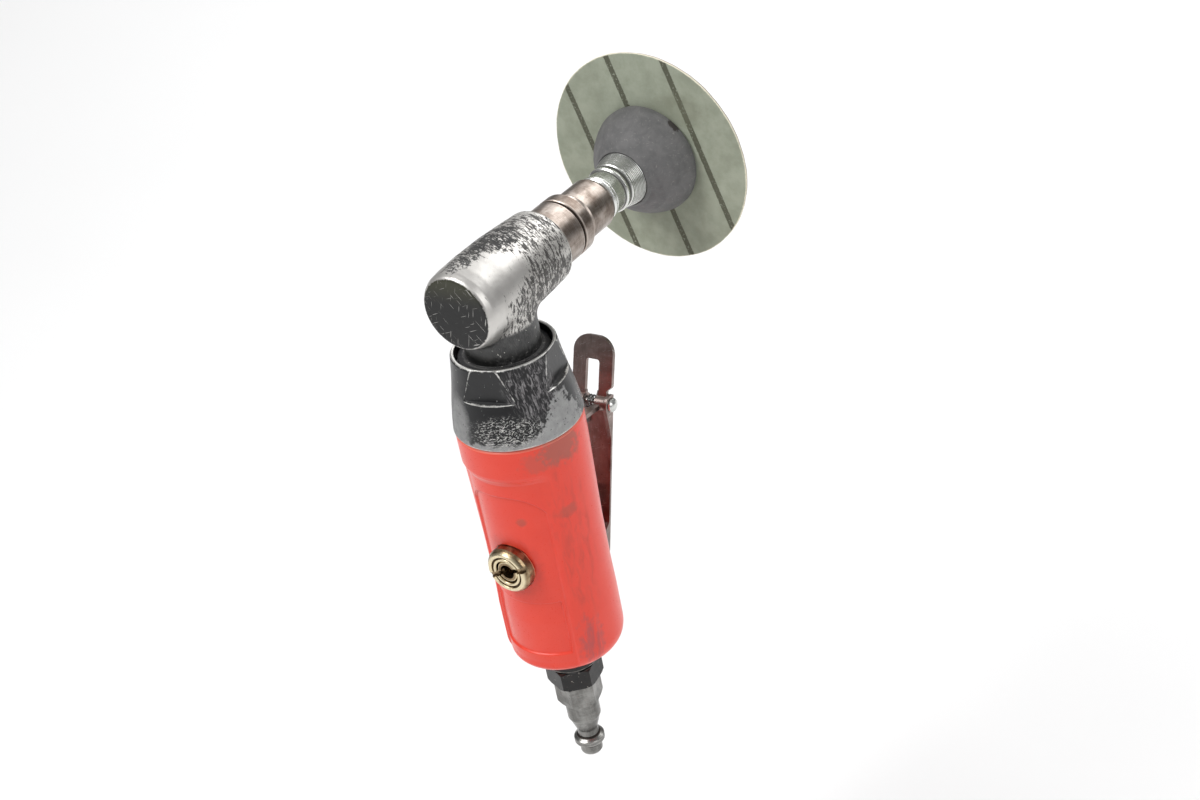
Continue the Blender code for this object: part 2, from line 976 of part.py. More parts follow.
def make_inlet():
    bushing = turned(
        "inlet_bushing",
        [
            (7.3, -126.5),
            (7.3, GRIP_BOTTOM - GAP),
            (9.2, GRIP_BOTTOM - GAP),
            (9.6, GRIP_BOTTOM - GAP - 0.5),
            (9.6, -146.4),
            (8.6, -147.8),
            (8.6, -150.0),
            (6.0, -150.0),
            (6.0, -146.0),
            (4.4, -145.0),
            (4.4, -126.5),
        ],
        at_handle(),
        "black_oxide",
        ROUND,
    )
    hexagon = prism("bushing_hex_form", 9.95, 6, -147.7, -155.2, at_handle(), turn=-81.0)
    hex_bore = rod("bushing_hex_bore", 6.0, -146.0, -160.0, at_handle(), steps=ROUND)
    join(bushing, hexagon)
    cut(bushing, hex_bore)
    turned(
        "inlet_screen",
        [
            (0.0, -127.6),
            (2.6, -127.6),
            (3.2, -128.2),
            (3.6, -134.0),
            (4.1, -134.4),
            (4.1, -135.0),
            (3.2, -135.0),
            (2.6, -129.0),
            (0.0, -128.4),
        ],
        at_handle(),
        "brass",
        SMALL,
    )
    nipple = turned(
        "air_plug",
        [
            (5.6, -146.4),
            (5.6, -155.4),
            (5.9, -155.6),
            (5.9, -172.4),
            (5.4, -173.4),
            (3.75, -178.4),
            (3.75, -181.2),
            (4.6, -181.7),
            (5.45, -182.3),
            (5.45, -184.1),
            (4.6, -184.8),
            (3.95, -185.2),
            (3.95, -188.4),
            (3.5, PLUG_TIP),
            (2.4, PLUG_TIP),
            (2.4, -146.4),
        ],
        at_handle(),
        "zinc_steel",
        ROUND,
    )
    nut = turned(
        "plug_hex_form",
        [
            (0.0, -155.6),
            (7.3, -155.6),
            (8.3, -156.6),
            (8.3, -163.4),
            (7.3, -164.6),
            (0.0, -164.6),
        ],
        at_handle(),
        steps=ROUND,
    )
    limit = prism("plug_hex_limit", 8.25, 6, -150.0, -170.0, at_handle(), turn=-73.5)
    boolean(nut, limit, "INTERSECT")
    bore = rod("plug_bore", 2.4, -140.0, -200.0, at_handle(), steps=ROUND)
    join(nipple, nut)
    cut(nipple, bore)


# Throttle lever and its lock

def flange_outline():
    """Side of the lever: pivot end, straight back, ear round the tab's pin."""
    hinge = (TAB_HINGE_OUT, TAB_HINGE_ALONG)
    end_radius = 3.6
    ear_start = math.degrees(math.acos((LEVER_WEB - TAB_HINGE_OUT) / EAR_RADIUS))
    edge = LEVER_WEB - FLANGE_DEPTH
    outline = arc((0.0, 0.0), 3.0, 180.0, 300.0, 6)
    outline += arc((LEVER_WEB - end_radius, 5.0), end_radius, -55.0, 0.0, 4)
    outline += arc(hinge, EAR_RADIUS, ear_start, 200.0, 9)
    outline += [(3.6, TAB_HINGE_ALONG - 5.5), (edge, TAB_HINGE_ALONG - 11.5), (edge, 13.0)]
    outline += [(-2.6, 2.2)]
    return outline


def make_lever():
    frame = at_lever()
    half = 0.5 * LEVER_WIDTH
    web_end = 5.2
    web_top = TAB_HINGE_ALONG - 3.1
    web = plate(
        "throttle_lever",
        [(-half, web_end), (half, web_end), (half, web_top), (-half, web_top)],
        SHEET,
        frame
        @ Matrix.Translation((0.0, (LEVER_WEB - 0.5 * SHEET) * MM, 0.0))
        @ Matrix.Rotation(math.radians(90.0), 4, "X"),
        "lever_steel",
    )
    outline = flange_outline()
    for side, x in (("left", -(half - 0.5 * SHEET)), ("right", half - 0.5 * SHEET)):
        flange = plate("lever_flange_%s" % side, outline, SHEET, side_plate(frame, x))
        join(web, flange)
    pivot_hole = rod(
        "lever_pivot_hole",
        PIVOT_PIN_RADIUS + PIN_PLAY,
        12.0,
        -12.0,
        across_x(frame, 0.0, 0.0, 0.0),
    )
    tab_hole = rod(
        "lever_tab_hole",
        TAB_PIN_RADIUS + PIN_PLAY,
        12.0,
        -12.0,
        across_x(frame, 0.0, TAB_HINGE_OUT, TAB_HINGE_ALONG),
    )
    cut(web, pivot_hole, tab_hole)
    pin_end = 12.2
    turned(
        "lever_pin",
        [
            (0.0, pin_end),
            (PIVOT_PIN_RADIUS - 0.4, pin_end),
            (PIVOT_PIN_RADIUS, pin_end - 0.4),
            (PIVOT_PIN_RADIUS, 0.4 - pin_end),
            (PIVOT_PIN_RADIUS - 0.4, -pin_end),
            (0.0, -pin_end),
        ],
        across_x(frame, 0.0, 0.0, 0.0),
        "zinc_steel",
        SMALL,
    )


def tab_outline():
    """Flat tab: narrow between the ears, shouldered, round-cornered on top."""
    neck = 6.0
    half = 0.5 * LEVER_WIDTH
    corner = 6.0
    middle = TAB_HEIGHT - corner
    outline = [(-neck, 0.5), (neck, 0.5), (neck, 4.4), (half, 6.4)]
    outline += arc((half - corner, middle), corner, 0.0, 90.0, 6)
    outline += arc((corner - half, middle), corner, 90.0, 180.0, 6)
    outline += [(-half, 6.4), (-neck, 4.4)]
    return outline


def make_lock():
    frame = at_lever() @ Matrix.Translation((0.0, TAB_HINGE_OUT * MM, TAB_HINGE_ALONG * MM))
    lean = Matrix.Rotation(math.radians(-TAB_LEAN), 4, "X")
    stand = Matrix.Rotation(math.radians(90.0), 4, "X")
    level = Matrix.Rotation(math.radians(LEVER_TILT - FOOT_LIFT), 4, "X")
    tab = plate("lock_tab", tab_outline(), SHEET, frame @ lean @ stand, "lever_steel")
    window = block("tab_window", (5.4, 6.0, 11.8), (0.0, 0.0, 8.9), frame @ lean)
    barrel = rod("tab_barrel_form", 2.7, 6.2, -6.2, across_x(frame, 0.0, 0.0, 0.0), steps=HOLE)
    foot = block(
        "tab_foot_form", (10.0, TAB_FOOT, SHEET), (0.0, -0.5 * TAB_FOOT, 0.0), frame @ level
    )
    spring_room = rod(
        "tab_spring_room", 6.0, 2.4, -2.4, across_x(frame, 0.0, 0.0, 0.0), steps=SMALL
    )
    bore = rod(
        "tab_pin_hole",
        TAB_PIN_RADIUS + PIN_PLAY,
        10.0,
        -10.0,
        across_x(frame, 0.0, 0.0, 0.0),
        steps=ROUND,
    )
    join(tab, barrel, foot)
    cut(tab, window, spring_room, bore)
    turned(
        "lock_pin",
        [
            (0.0, 10.2),
            (1.3, 9.9),
            (2.2, 9.2),
            (2.4, 8.3),
            (TAB_PIN_RADIUS, 8.3),
            (TAB_PIN_RADIUS, -8.3),
            (2.1, -8.3),
            (2.1, -8.9),
            (0.0, -9.3),
        ],
        across_x(frame, 0.0, 0.0, 0.0),
        "zinc_steel",
        SMALL,
    )
    wire_radius = 0.35
    coil = 2.05
    turns = 2.75
    count = 22
    half_length = 1.7
    points = [(-half_length, -0.1, -7.6)]
    for i in range(count + 1):
        angle = math.pi + 2.0 * math.pi * turns * i / count
        across = half_length * (2.0 * i / count - 1.0)
        points.append((across, coil * math.cos(angle), coil * math.sin(angle)))
    points.append((half_length, 1.0, 3.8))
    wire("lock_spring", points, wire_radius, frame, "spring_steel")


def place_axes():
    """Empties that stand on the joint axes, each parenting what turns there."""
    groups = {
        "spindle_axis": (at_spindle(), ["spindle", "bevel_gear", "collet", "collet_nut",
                                        "pad_hub", "backing_pad", "disc_button",
                                        "sanding_disc"]),
        "rotor_axis": (at_handle(), ["rotor", "bevel_pinion"]),
        "lever_axis": (at_lever(), ["throttle_lever", "lock_pin", "lock_spring"]),
        "valve_axis": (at_valve(), ["valve_stem"]),
    }
    for name, (placement, members) in groups.items():
        empty = bpy.data.objects.new(name, None)
        PARTS.objects.link(empty)
        empty.matrix_world = placement
        bpy.context.view_layer.update()
        for member in members:
            child = bpy.data.objects[member]
            world = child.matrix_world.copy()
            child.parent = empty
            child.matrix_parent_inverse = placement.inverted()
            child.matrix_world = world


clear_scene()
PARTS = new_collection("die_grinder")
CUTTERS = new_collection("cutters")
make_angle_head()
make_gears()
make_spindle()
make_chuck()
make_disc_assembly()
make_clamp_nut()
make_grip()
make_motor()
make_valve()
make_regulator()
make_inlet()
make_lever()
make_lock()
place_axes()
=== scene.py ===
"""Looks of the right-angle air die grinder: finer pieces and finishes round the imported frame.

Sizes are in millimetres, heights from the crossing of the handle and spindle
axes; the placements below turn them into the frame's metres.
"""

import math

import bmesh
import bpy
import numpy as np
from mathutils import Matrix, Vector


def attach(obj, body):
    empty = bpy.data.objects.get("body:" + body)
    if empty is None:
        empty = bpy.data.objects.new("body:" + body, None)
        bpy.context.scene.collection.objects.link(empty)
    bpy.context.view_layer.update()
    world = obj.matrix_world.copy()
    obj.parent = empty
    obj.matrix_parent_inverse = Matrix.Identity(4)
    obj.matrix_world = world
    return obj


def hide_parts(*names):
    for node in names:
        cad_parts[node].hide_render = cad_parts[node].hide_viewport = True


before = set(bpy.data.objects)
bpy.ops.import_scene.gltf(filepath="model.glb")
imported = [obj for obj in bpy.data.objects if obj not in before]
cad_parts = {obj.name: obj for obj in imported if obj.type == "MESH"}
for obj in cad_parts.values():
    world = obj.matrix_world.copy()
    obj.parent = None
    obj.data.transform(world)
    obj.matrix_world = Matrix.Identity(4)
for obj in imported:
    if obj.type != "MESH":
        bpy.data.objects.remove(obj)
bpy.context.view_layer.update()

MM = 0.001
REACH = 94.0
VALVE_HEIGHT = -94.8
LEVER_PIVOT = (15.15, -115)
LEVER_TILT = 18.8
TAB_LEAN = 2.1
TAB_HINGE = (5.44, 54.7)
TAB_HEIGHT = 23.0
TAB_FOOT = 14.2
FOOT_LIFT = 6.4
SHEET = 1.4
LEVER_HALF = 8.0
LEVER_WEB = 7.5
NUT_FLAT = 16.6
NUT_LEDGE = -31.8
NUT_TURNS = (13, 103, 193, 283)
GRIP_BOTTOM = -139.2
DISC_RADIUS = 38.1


def turn_about(axis, degrees):
    return Matrix.Rotation(math.radians(degrees), 4, axis)


HANDLE = Matrix.Translation((0, -REACH, 0))
SPINDLE = HANDLE @ turn_about("X", -90)
VALVE = Matrix.Translation((0, -REACH, VALVE_HEIGHT)) @ turn_about("X", -90)
LEVER = Matrix.Translation((0, LEVER_PIVOT[0] - REACH, LEVER_PIVOT[1])) @ turn_about("X", -LEVER_TILT)
LOCK = LEVER @ Matrix.Translation((0, *TAB_HINGE))
ALONG_X = turn_about("Y", 90)
SIDEWAYS = Matrix(((0, 0, 1, 0), (1, 0, 0, 0), (0, 1, 0, 0), (0, 0, 0, 1)))


# Mesh helpers

def put(name, points, faces, place, edge=None):
    """Mesh object; points are in the placement's own millimetres."""
    turn = np.array(place)
    world = (np.asarray(points, float) @ turn[:3, :3].T + turn[:3, 3]) * MM
    mesh = bpy.data.meshes.new(name)
    mesh.from_pydata(world.tolist(), [], faces)
    if edge is not None:
        values = np.asarray(edge, np.float32)
        mesh.attributes.new("edge", "FLOAT", "POINT").data.foreach_set("value", values)
    obj = bpy.data.objects.new(name, mesh)
    bpy.context.scene.collection.objects.link(obj)
    shape = bmesh.new()
    shape.from_mesh(mesh)
    bmesh.ops.recalc_face_normals(shape, faces=shape.faces)
    shape.to_mesh(mesh)
    shape.free()
    return obj


def ease(value, low, high):
    """0 below low, 1 above high, smooth between."""
    t = np.clip((value - low) / (high - low), 0, 1)
    return t * t * (3 - 2 * t)


def soft_least(a, b, width):
    """The smaller of two surfaces, rounded off where they meet."""
    h = np.clip(0.5 + 0.5 * (b - a) / width, 0, 1)
    return b + (a - b) * h - width * h * (1 - h)


def soften(profile, size, closed, support=0.5):
    """Profile with its corners rounded: (radius, height, edge value), the value 1 on edges that stand out;
    it gives worn edges on paint, oxide and brass and a painted highlight on turned metal.
    """
    points = [np.array(p, float) for p in profile]
    count = len(points)
    ring = points + [points[0]]
    area = sum(a[0] * b[1] - b[0] * a[1] for a, b in zip(ring, ring[1:]))
    out = []
    for i, corner in enumerate(points):
        if not closed and i in (0, count - 1):
            out.append((*corner, 0))
            continue
        back = corner - points[i - 1]
        ahead = points[(i + 1) % count] - corner
        reach_back, reach_ahead = np.hypot(*back), np.hypot(*ahead)
        back, ahead = back / reach_back, ahead / reach_ahead
        cross = back[0] * ahead[1] - back[1] * ahead[0]
        angle = abs(math.atan2(cross, float(back @ ahead)))
        if angle < math.radians(9):
            out.append((*corner, 0))
            continue
        reach = min(size * math.tan(angle / 2), 0.42 * reach_back, 0.42 * reach_ahead)
        wear_and_highlight = min(1, angle) if cross * area > 0.0 else -min(1, angle)
        start, end = corner - reach * back, corner + reach * ahead
        if reach_back > 3.0 * support:
            out.append((*(start - support * back), 0))
        for step in range(5):
            t = step / 4.0
            spot = (1 - t) ** 2 * start + 2 * t * (1 - t) * corner + t * t * end
            out.append((*spot, wear_and_highlight))
        if reach_ahead > 3.0 * support:
            out.append((*(end + support * ahead), 0))
    return out


def refine(profile, step):
    """Profile with long stretches divided; step is a length or a function of height."""
    out = []
    for a, b in zip(profile, profile[1:] + profile[:1]):
        out.append(a)
        length = math.hypot(b[0] - a[0], b[1] - a[1])
        size = step(0.5 * (a[1] + b[1])) if callable(step) else step
        parts = max(1, math.ceil(length / size))
        for i in range(1, parts):
            t = i / parts
            out.append(tuple(a[k] + (b[k] - a[k]) * t for k in range(3)))
    return out


def bridge(rows, closed):
    """Faces between rings of vertex numbers; a ring of one number is a pole."""
    faces = []
    pairs = list(zip(rows, rows[1:] + rows[:1])) if closed else list(zip(rows, rows[1:]))
    for low, high in pairs:
        count = max(len(low), len(high))
        for i in range(count):
            k = (i + 1) % count
            if len(low) == 1:
                faces.append((low[0], high[k], high[i]))
            elif len(high) == 1:
                faces.append((low[i], low[k], high[0]))
            else:
                faces.append((low[i], low[k], high[k], high[i]))
    return faces


def ring_angles(steps):
    return np.arange(steps) * 2.0 * math.pi / steps


def lathe(name, profile, place, soft=0.3, steps=96):
    """Turned piece with rounded edges, from a profile of (radius, height)."""
    closed = profile[0][0] > 0.0
    rounded = soften(profile, soft, closed)
    points, wear_and_highlight, rows = [], [], []
    angles = ring_angles(steps)
    for radius, height, edge_mark in rounded:
        if radius < 0.001:
            rows.append([len(points)])
            points.append((0, 0, height))
            wear_and_highlight.append(edge_mark)
            continue
        rows.append(list(range(len(points), len(points) + steps)))
        points += [(radius * math.cos(a), radius * math.sin(a), height) for a in angles]
        wear_and_highlight += [edge_mark] * steps
    return put(name, points, bridge(rows, closed), place, wear_and_highlight)


def bore(profile, place, steps, soft=0.05):
    """Cutter for a stepped hole, from (radius, height) along it; it is closed on its axis."""
    ends = [(0, profile[0][1])], [(0, profile[-1][1])]
    return lathe("bore", ends[0] + profile + ends[1], place, soft, steps)


def drill(radius, start, end, place, steps):
    return bore([(radius, start), (radius, end)], place, steps)


def sleeve(name, radii, heights, place, wear_and_highlight):
    """Closed shell from a grid of radii and heights, one row for each ring."""
    count, steps = radii.shape
    angles = ring_angles(steps)
    points = np.stack([radii * np.cos(angles), radii * np.sin(angles), heights], axis=2).reshape(-1, 3)
    rows = [list(range(i * steps, (i + 1) * steps)) for i in range(count)]
    return put(name, points, bridge(rows, True), place, wear_and_highlight.ravel())


def box(name, size, centre, place):
    """Block, used only as a cutter or a helper."""
    half = np.array(size) / 2.0
    signs = np.array([(x, y, z) for x in (-1, 1) for y in (-1, 1) for z in (-1, 1)])
    faces = [(0, 1, 3, 2), (4, 6, 7, 5), (0, 4, 5, 1), (2, 3, 7, 6), (0, 2, 6, 4), (1, 5, 7, 3)]
    return put(name, signs * half + np.array(centre), faces, place)


def prism(name, outline, low, high, place):
    """Solid with this outline in the local XY plane, from low to high along local Z."""
    count = len(outline)
    points = [(x, y, low) for x, y in outline] + [(x, y, high) for x, y in outline]
    faces = [tuple(range(count)), tuple(range(count, 2 * count))]
    faces += [(i, (i + 1) % count, count + (i + 1) % count, count + i) for i in range(count)]
    return put(name, points, faces, place)


def arc(centre, radius, start, end, count=12):
    """Points along an arc, angles in degrees from the first axis."""
    angles = np.radians(np.linspace(start, end, count + 1))
    return [(centre[0] + radius * math.cos(a), centre[1] + radius * math.sin(a)) for a in angles]


def settle(obj):
    """Replace the mesh by what the modifiers make of it."""
    bpy.context.view_layer.update()
    shown = obj.evaluated_get(bpy.context.evaluated_depsgraph_get())
    mesh = bpy.data.meshes.new_from_object(shown)
    obj.modifiers.clear()
    old = obj.data
    obj.data = mesh
    bpy.data.meshes.remove(old)
    return obj


def merge(obj, others, operation):
    """Boolean with each of the other objects, which are used up."""
    for other in others:
        step = obj.modifiers.new("step", "BOOLEAN")
        step.operation = operation
        step.object = other
        step.solver = "MANIFOLD"
        settle(obj)
        bpy.data.objects.remove(other)
    return obj


def cut(obj, *others):
    return merge(obj, others, "DIFFERENCE")


def join(obj, *others):
    return merge(obj, others, "UNION")


def ease_edges(obj, width, angle=35):
    """Small rounded bevel on every sharp edge."""
    bevel = obj.modifiers.new("bevel", "BEVEL")
    bevel.width = width * MM
    bevel.segments = 3
    bevel.limit_method = "ANGLE"
    bevel.angle_limit = math.radians(angle)
    return settle(obj)


def tube(name, path, radius, place, sides=14):
    """Round wire along a smooth path of points, closed at both ends."""
    path = np.asarray(path, float)
    tangent = np.gradient(path, axis=0)
    tangent /= np.linalg.norm(tangent, axis=1)[:, None]
    side = np.cross(tangent[0], (0.31, 0.72, 0.62))
    points, rows = [], []
    for place_on, along in zip(path, tangent):
        side = side - (side @ along) * along
        side /= np.linalg.norm(side)
        up = np.cross(along, side)
        rows.append(list(range(len(points), len(points) + sides)))
        for i in range(sides):
            a = 2.0 * math.pi * i / sides
            points.append(place_on + radius * (math.cos(a) * side + math.sin(a) * up))
    points += [path[0] - 0.4 * radius * tangent[0], path[-1] + 0.4 * radius * tangent[-1]]
    rows = [[len(points) - 2]] + rows + [[len(points) - 1]]
    return put(name, points, bridge(rows, False), place)


def curved(points, count=10):
    """Smooth path through a few points."""
    points = [np.array(p, float) for p in points]
    ends = [2 * points[0] - points[1]] + points + [2 * points[-1] - points[-2]]
    out = []
    for a, b, c, d in zip(ends, ends[1:], ends[2:], ends[3:]):
        for i in range(count):
            t = i / count
            out.append(0.5 * (2 * b + (c - a) * t + (2 * a - 5 * b + 4 * c - d) * t * t
                              + (3 * b - a - 3 * c + d) * t ** 3))
    return out + [points[-1]]


PIECES = []


def finish_piece(obj, body, slot, *nodes, finish=None, sharp=40):
    """Shading, body, slot and replaced nodes of one piece; its material follows at the end."""
    mesh = obj.data
    mesh.polygons.foreach_set("use_smooth", [True] * len(mesh.polygons))
    mesh.set_sharp_from_angle(angle=math.radians(sharp))
    even = obj.modifiers.new("even_normals", "WEIGHTED_NORMAL")
    even.keep_sharp = True
    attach(obj, body)
    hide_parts(*nodes)
    PIECES.append((obj, finish or slot))


def turned(name, profile, place, body, slot, node, soft, steps):
    finish_piece(lathe(name, profile, place, soft, steps), body, slot, node)


# Head

def outline_distance(across, along, outline):
    """Signed distance from points to a closed outline, negative inside."""
    least = np.full(across.shape, 1e9)
    inside = np.zeros(across.shape, bool)
    for (x1, y1), (x2, y2) in zip(outline, outline[1:] + outline[:1]):
        dx, dy = x2 - x1, y2 - y1
        t = np.clip(((across - x1) * dx + (along - y1) * dy) / (dx * dx + dy * dy + 1e-12), 0, 1)
        least = np.minimum(least, np.hypot(across - x1 - t * dx, along - y1 - t * dy))
        if y1 != y2:
            crosses = (y1 > along) != (y2 > along)
            inside ^= crosses & (across < x1 + (along - y1) * dx / dy)
    return np.where(inside, -least, least)


def build_head():
    """Barrel and neck joined by a fillet: voxel mesh pulled onto the exact surface, then bored."""
    barrel = [(-0.1, 27.1), (12.4, 27.1), (12.9, 26.4), (13.4, 19), (14, 8), (14, -4),
              (13.7, -12), (13.3, -15.6), (12.6, -17.3), (11.9, -18), (-0.1, -18)]
    neck = [(-0.1, 0), (11, 0), (12.4, -10), (12.4, -25), (-0.1, -25)]
    barrel_line = [row[:2] for row in soften(barrel, 0.7, True)]
    neck_line = [row[:2] for row in soften(neck, 0.3, True)]

    def surface(p):
        off_barrel = outline_distance(np.hypot(p[:, 0], p[:, 2]), p[:, 1], barrel_line)
        off_neck = outline_distance(np.hypot(p[:, 0], p[:, 1]), p[:, 2], neck_line)
        return soft_least(off_barrel, off_neck, 2.6)

    head = lathe("head_casting", [(0, 27.1)] + barrel[1:-1] + [(0, -18)], SPINDLE, 0.5, 64)
    stub = lathe("neck_stub", [(0, 0)] + neck[1:-1] + [(0, -25)], HANDLE, 0.3, 64)
    join(head, stub)
    remesh = head.modifiers.new("remesh", "REMESH")
    remesh.mode = "VOXEL"
    remesh.voxel_size = 0.45 * MM
    settle(head)
    mesh = head.data
    flat = np.zeros(len(mesh.vertices) * 3)
    mesh.vertices.foreach_get("co", flat)
    p = flat.reshape(-1, 3) / MM + np.array((0, REACH, 0))
    for _ in range(4):
        value = surface(p)
        slope = np.stack([(surface(p + d) - value) / 0.01 for d in 0.01 * np.eye(3)], axis=1)
        size = np.maximum((slope ** 2).sum(axis=1), 0.2)
        p -= np.clip(value / size, -0.4, 0.4)[:, None] * slope
    mesh.vertices.foreach_set("co", ((p - np.array((0, REACH, 0))) * MM).ravel())
    mesh.update()
    spigot = lathe(
        "neck_spigot",
        [(0, -20.8), (12.36, -20.8), (12.36, -21.6), (15, -22.4), (15, -23.6), (13, -24.4),
         (13, -26.9), (15.2, -26.9), (15.2, -30.6), (13.4, -30.6), (13.4, -33.6), (0, -33.6)],
        HANDLE, 0.25, 160,
    )
    trim = box("trim", (60, 60, 20), (0, 0, -31.2), HANDLE)
    cut(head, trim)
    join(head, spigot)
    spindle_bore = bore([(11.6, 40), (11.6, 27), (11.2, 26.6), (11.2, -8), (7, -8), (7, -14.2)],
                        SPINDLE, 128)
    pinion_bore = bore([(8.3, 0), (8.3, -19.8), (5.2, -19.8), (5.2, -40)], HANDLE, 96)
    cut(head, spindle_bore, pinion_bore)
    finish_piece(head, "handle", "worn_alloy", "angle_head")


build_head()

turned("bearing_cap_ring",
       [(10.6, 27.5), (10.9, 27.1), (10.9, 21.2), (8.6, 21.2), (8.6, 22.6), (7.3, 22.6), (7.3, 27),
        (7.8, 27.5), (8.6, 27.5), (8.8, 27.2), (9.6, 27.2), (9.8, 27.5)],
       SPINDLE, "handle", "black_oxide", "bearing_cap", 0.12, 128)


# Spindle, chuck and disc holder

turned("spindle_shaft",
       [(0, 29), (4.3, 29), (4.3, 39), (5.7, 56.6), (6.4, 56.6), (6.6, 56.2), (6.6, 44.6),
        (9.4, 44.5), (10.5, 43.2), (10.5, 39), (10, 38.6), (10, 37.8), (10.5, 37.4), (10.5, 28.9),
        (9.9, 28.3), (9.9, 27.8), (6.9, 27.8), (6.9, 21.6), (5, 21.6), (5, 10.2), (3.9, 9.9),
        (3.9, -7.4), (3, -7.8), (3, -13.7), (0, -13.7)],
       SPINDLE, "spindle_group", "tool_steel", "spindle", 0.3, 128)

turned("collet_nut_sleeve",
       [(7, 59.2), (8.3, 58.7), (8.8, 57.4), (8.8, 46), (8.2, 45.2), (6.9, 45.2), (6.9, 57),
        (4.2, 57.4), (4.2, 59.2)],
       SPINDLE, "spindle_group", "tool_steel", "collet_nut", 0.3, 128)


def build_hub():
    """Plated hub: the flared skirt carries fine turned rings."""
    skirt = [(9.6, 76.4)]
    for i in range(9):
        height = 75.9 - 0.62 * i
        radius = 8.3 + 1.3 * (height - 70) / 6.4
        skirt += [(radius, height), (radius - 0.14, height - 0.2), (radius - 0.14, height - 0.4)]
    profile = [(0, 82), (4.5, 82), (4.5, 90.9), (6.2, 90.9), (6.2, 78.2), (9.2, 78.2), (9.6, 77.8)]
    profile += skirt
    profile += [(8.3, 70), (7.8, 69.6), (7.8, 68.6), (8.2, 68.2), (8.2, 67.4), (7.4, 66.8), (7.6, 61.8),
                (7.1, 61.4), (8, 61), (8, 60.2), (7.4, 59.6), (3.175, 59.6), (3.175, 32),
                (0, 32)]
    turned("pad_hub_turned", profile, SPINDLE, "spindle_group", "zinc_steel", "pad_hub", 0.22, 128)


build_hub()

turned("backing_pad_rubber",
       [(9, 92.7), (18.9, 92.7), (19.3, 92.2), (19.3, 90.4), (18.7, 88.4), (17.2, 85), (15.2, 81.8),
        (12.9, 79.2), (10.8, 77.4), (10.2, 76.4), (9.95, 76), (9.7, 76), (9.7, 78.5), (6.5, 78.5),
        (6.5, 91.2), (9, 91.2)],
       SPINDLE, "spindle_group", "rubber_pad", "backing_pad", 0.6, 160)


def build_disc():
    """Cloth-backed disc: a backing layer and a grain layer, each with a slightly uneven rim."""
    steps = 256
    angles = ring_angles(steps)
    for name, low, high, rim, finish in (
        ("disc_backing_cloth", 93, 93.58, DISC_RADIUS, "abrasive_cloth"),
        ("disc_grain_layer", 93.58, 94, DISC_RADIUS - 0.12, "abrasive_grain"),
    ):
        waves = np.sin(5 * angles + rim) + np.sin(13 * angles + 2 * rim)
        edge = rim - 0.13 + 0.05 * waves + 0.03 * np.sin(37 * angles)
        levels = [(share, low) for share in (0.15, 0.5, 0.8, 0.97)]
        levels += [(0.998, low + 0.03), (1, low + 0.12), (1, high - 0.1), (0.998, high - 0.02)]
        levels += [(share, high) for share in (0.97, 0.8, 0.5, 0.15)]
        points = [(0, 0, low)]
        rows = [[0]]
        for share, height in levels:
            rows.append(list(range(len(points), len(points) + steps)))
            ring = zip(share * edge, angles)
            points += [(r * math.cos(a), r * math.sin(a), height) for r, a in ring]
        rows.append([len(points)])
        points.append((0, 0, high))
        obj = put(name, points, bridge(rows, False), SPINDLE)
        finish_piece(obj, "spindle_group", "abrasive_cloth", "sanding_disc", finish=finish)


build_disc()


# Clamp nut and grip

def build_nut():
    """Nut body, with four wrench flats sunk in its upper part down to a ledge."""
    profile = [(15.9, -20.5), (16.7, -20.5), (17.2, -21.1), (18, -27), (19.1, -33), (20.1, -38),
               (20.9, -43), (21.4, -46.9), (21, -47.5), (17.1, -47.5), (17.1, -32.6), (15.5, -32.6),
               (15.5, -26.5), (13.4, -26.5), (13.4, -24.9), (15.9, -24.9)]
    rows = soften(profile, 0.35, True)
    rows = refine(rows, lambda h: 0.06 if abs(h - NUT_LEDGE) < 0.45 else 0.45)
    steps = 480
    degrees = np.arange(steps) * 360.0 / steps
    radii, heights, wear_and_highlight = (np.array(column)[:, None] * np.ones(steps) for column in zip(*rows))
    wear_and_highlight = np.maximum(wear_and_highlight, 0)
    above = ease(heights, NUT_LEDGE - 0.14, NUT_LEDGE + 0.14)
    for turn in NUT_TURNS:
        away = np.abs((degrees - turn + 180) % 360 - 180)
        plane = np.where(away < 60, NUT_FLAT / np.cos(np.radians(np.minimum(away, 60))), 99)
        plane = plane[None, :] * np.ones_like(radii)
        lowered = np.where(radii > 16.4, soft_least(radii, plane, 0.25), radii)
        pocket = ease(radii - plane, -0.05, 0.25) * above
        side = 0.8 * np.exp(-((radii - plane) / 0.2) ** 2) * above
        lip = np.exp(-((heights - NUT_LEDGE + 0.26) / 0.3) ** 2) * ease(radii - plane, -0.1, 0.3)
        wear_and_highlight = np.maximum(wear_and_highlight, np.maximum(side, lip) * (radii > 16.4))
        radii = radii + (lowered - radii) * above
        wear_and_highlight = np.where((pocket > 0.5) & (wear_and_highlight < 0.1), -0.5, wear_and_highlight)
    nut = sleeve("clamp_nut_body", radii, heights, HANDLE, wear_and_highlight)
    finish_piece(nut, "handle", "black_paint", "clamp_nut")


build_nut()


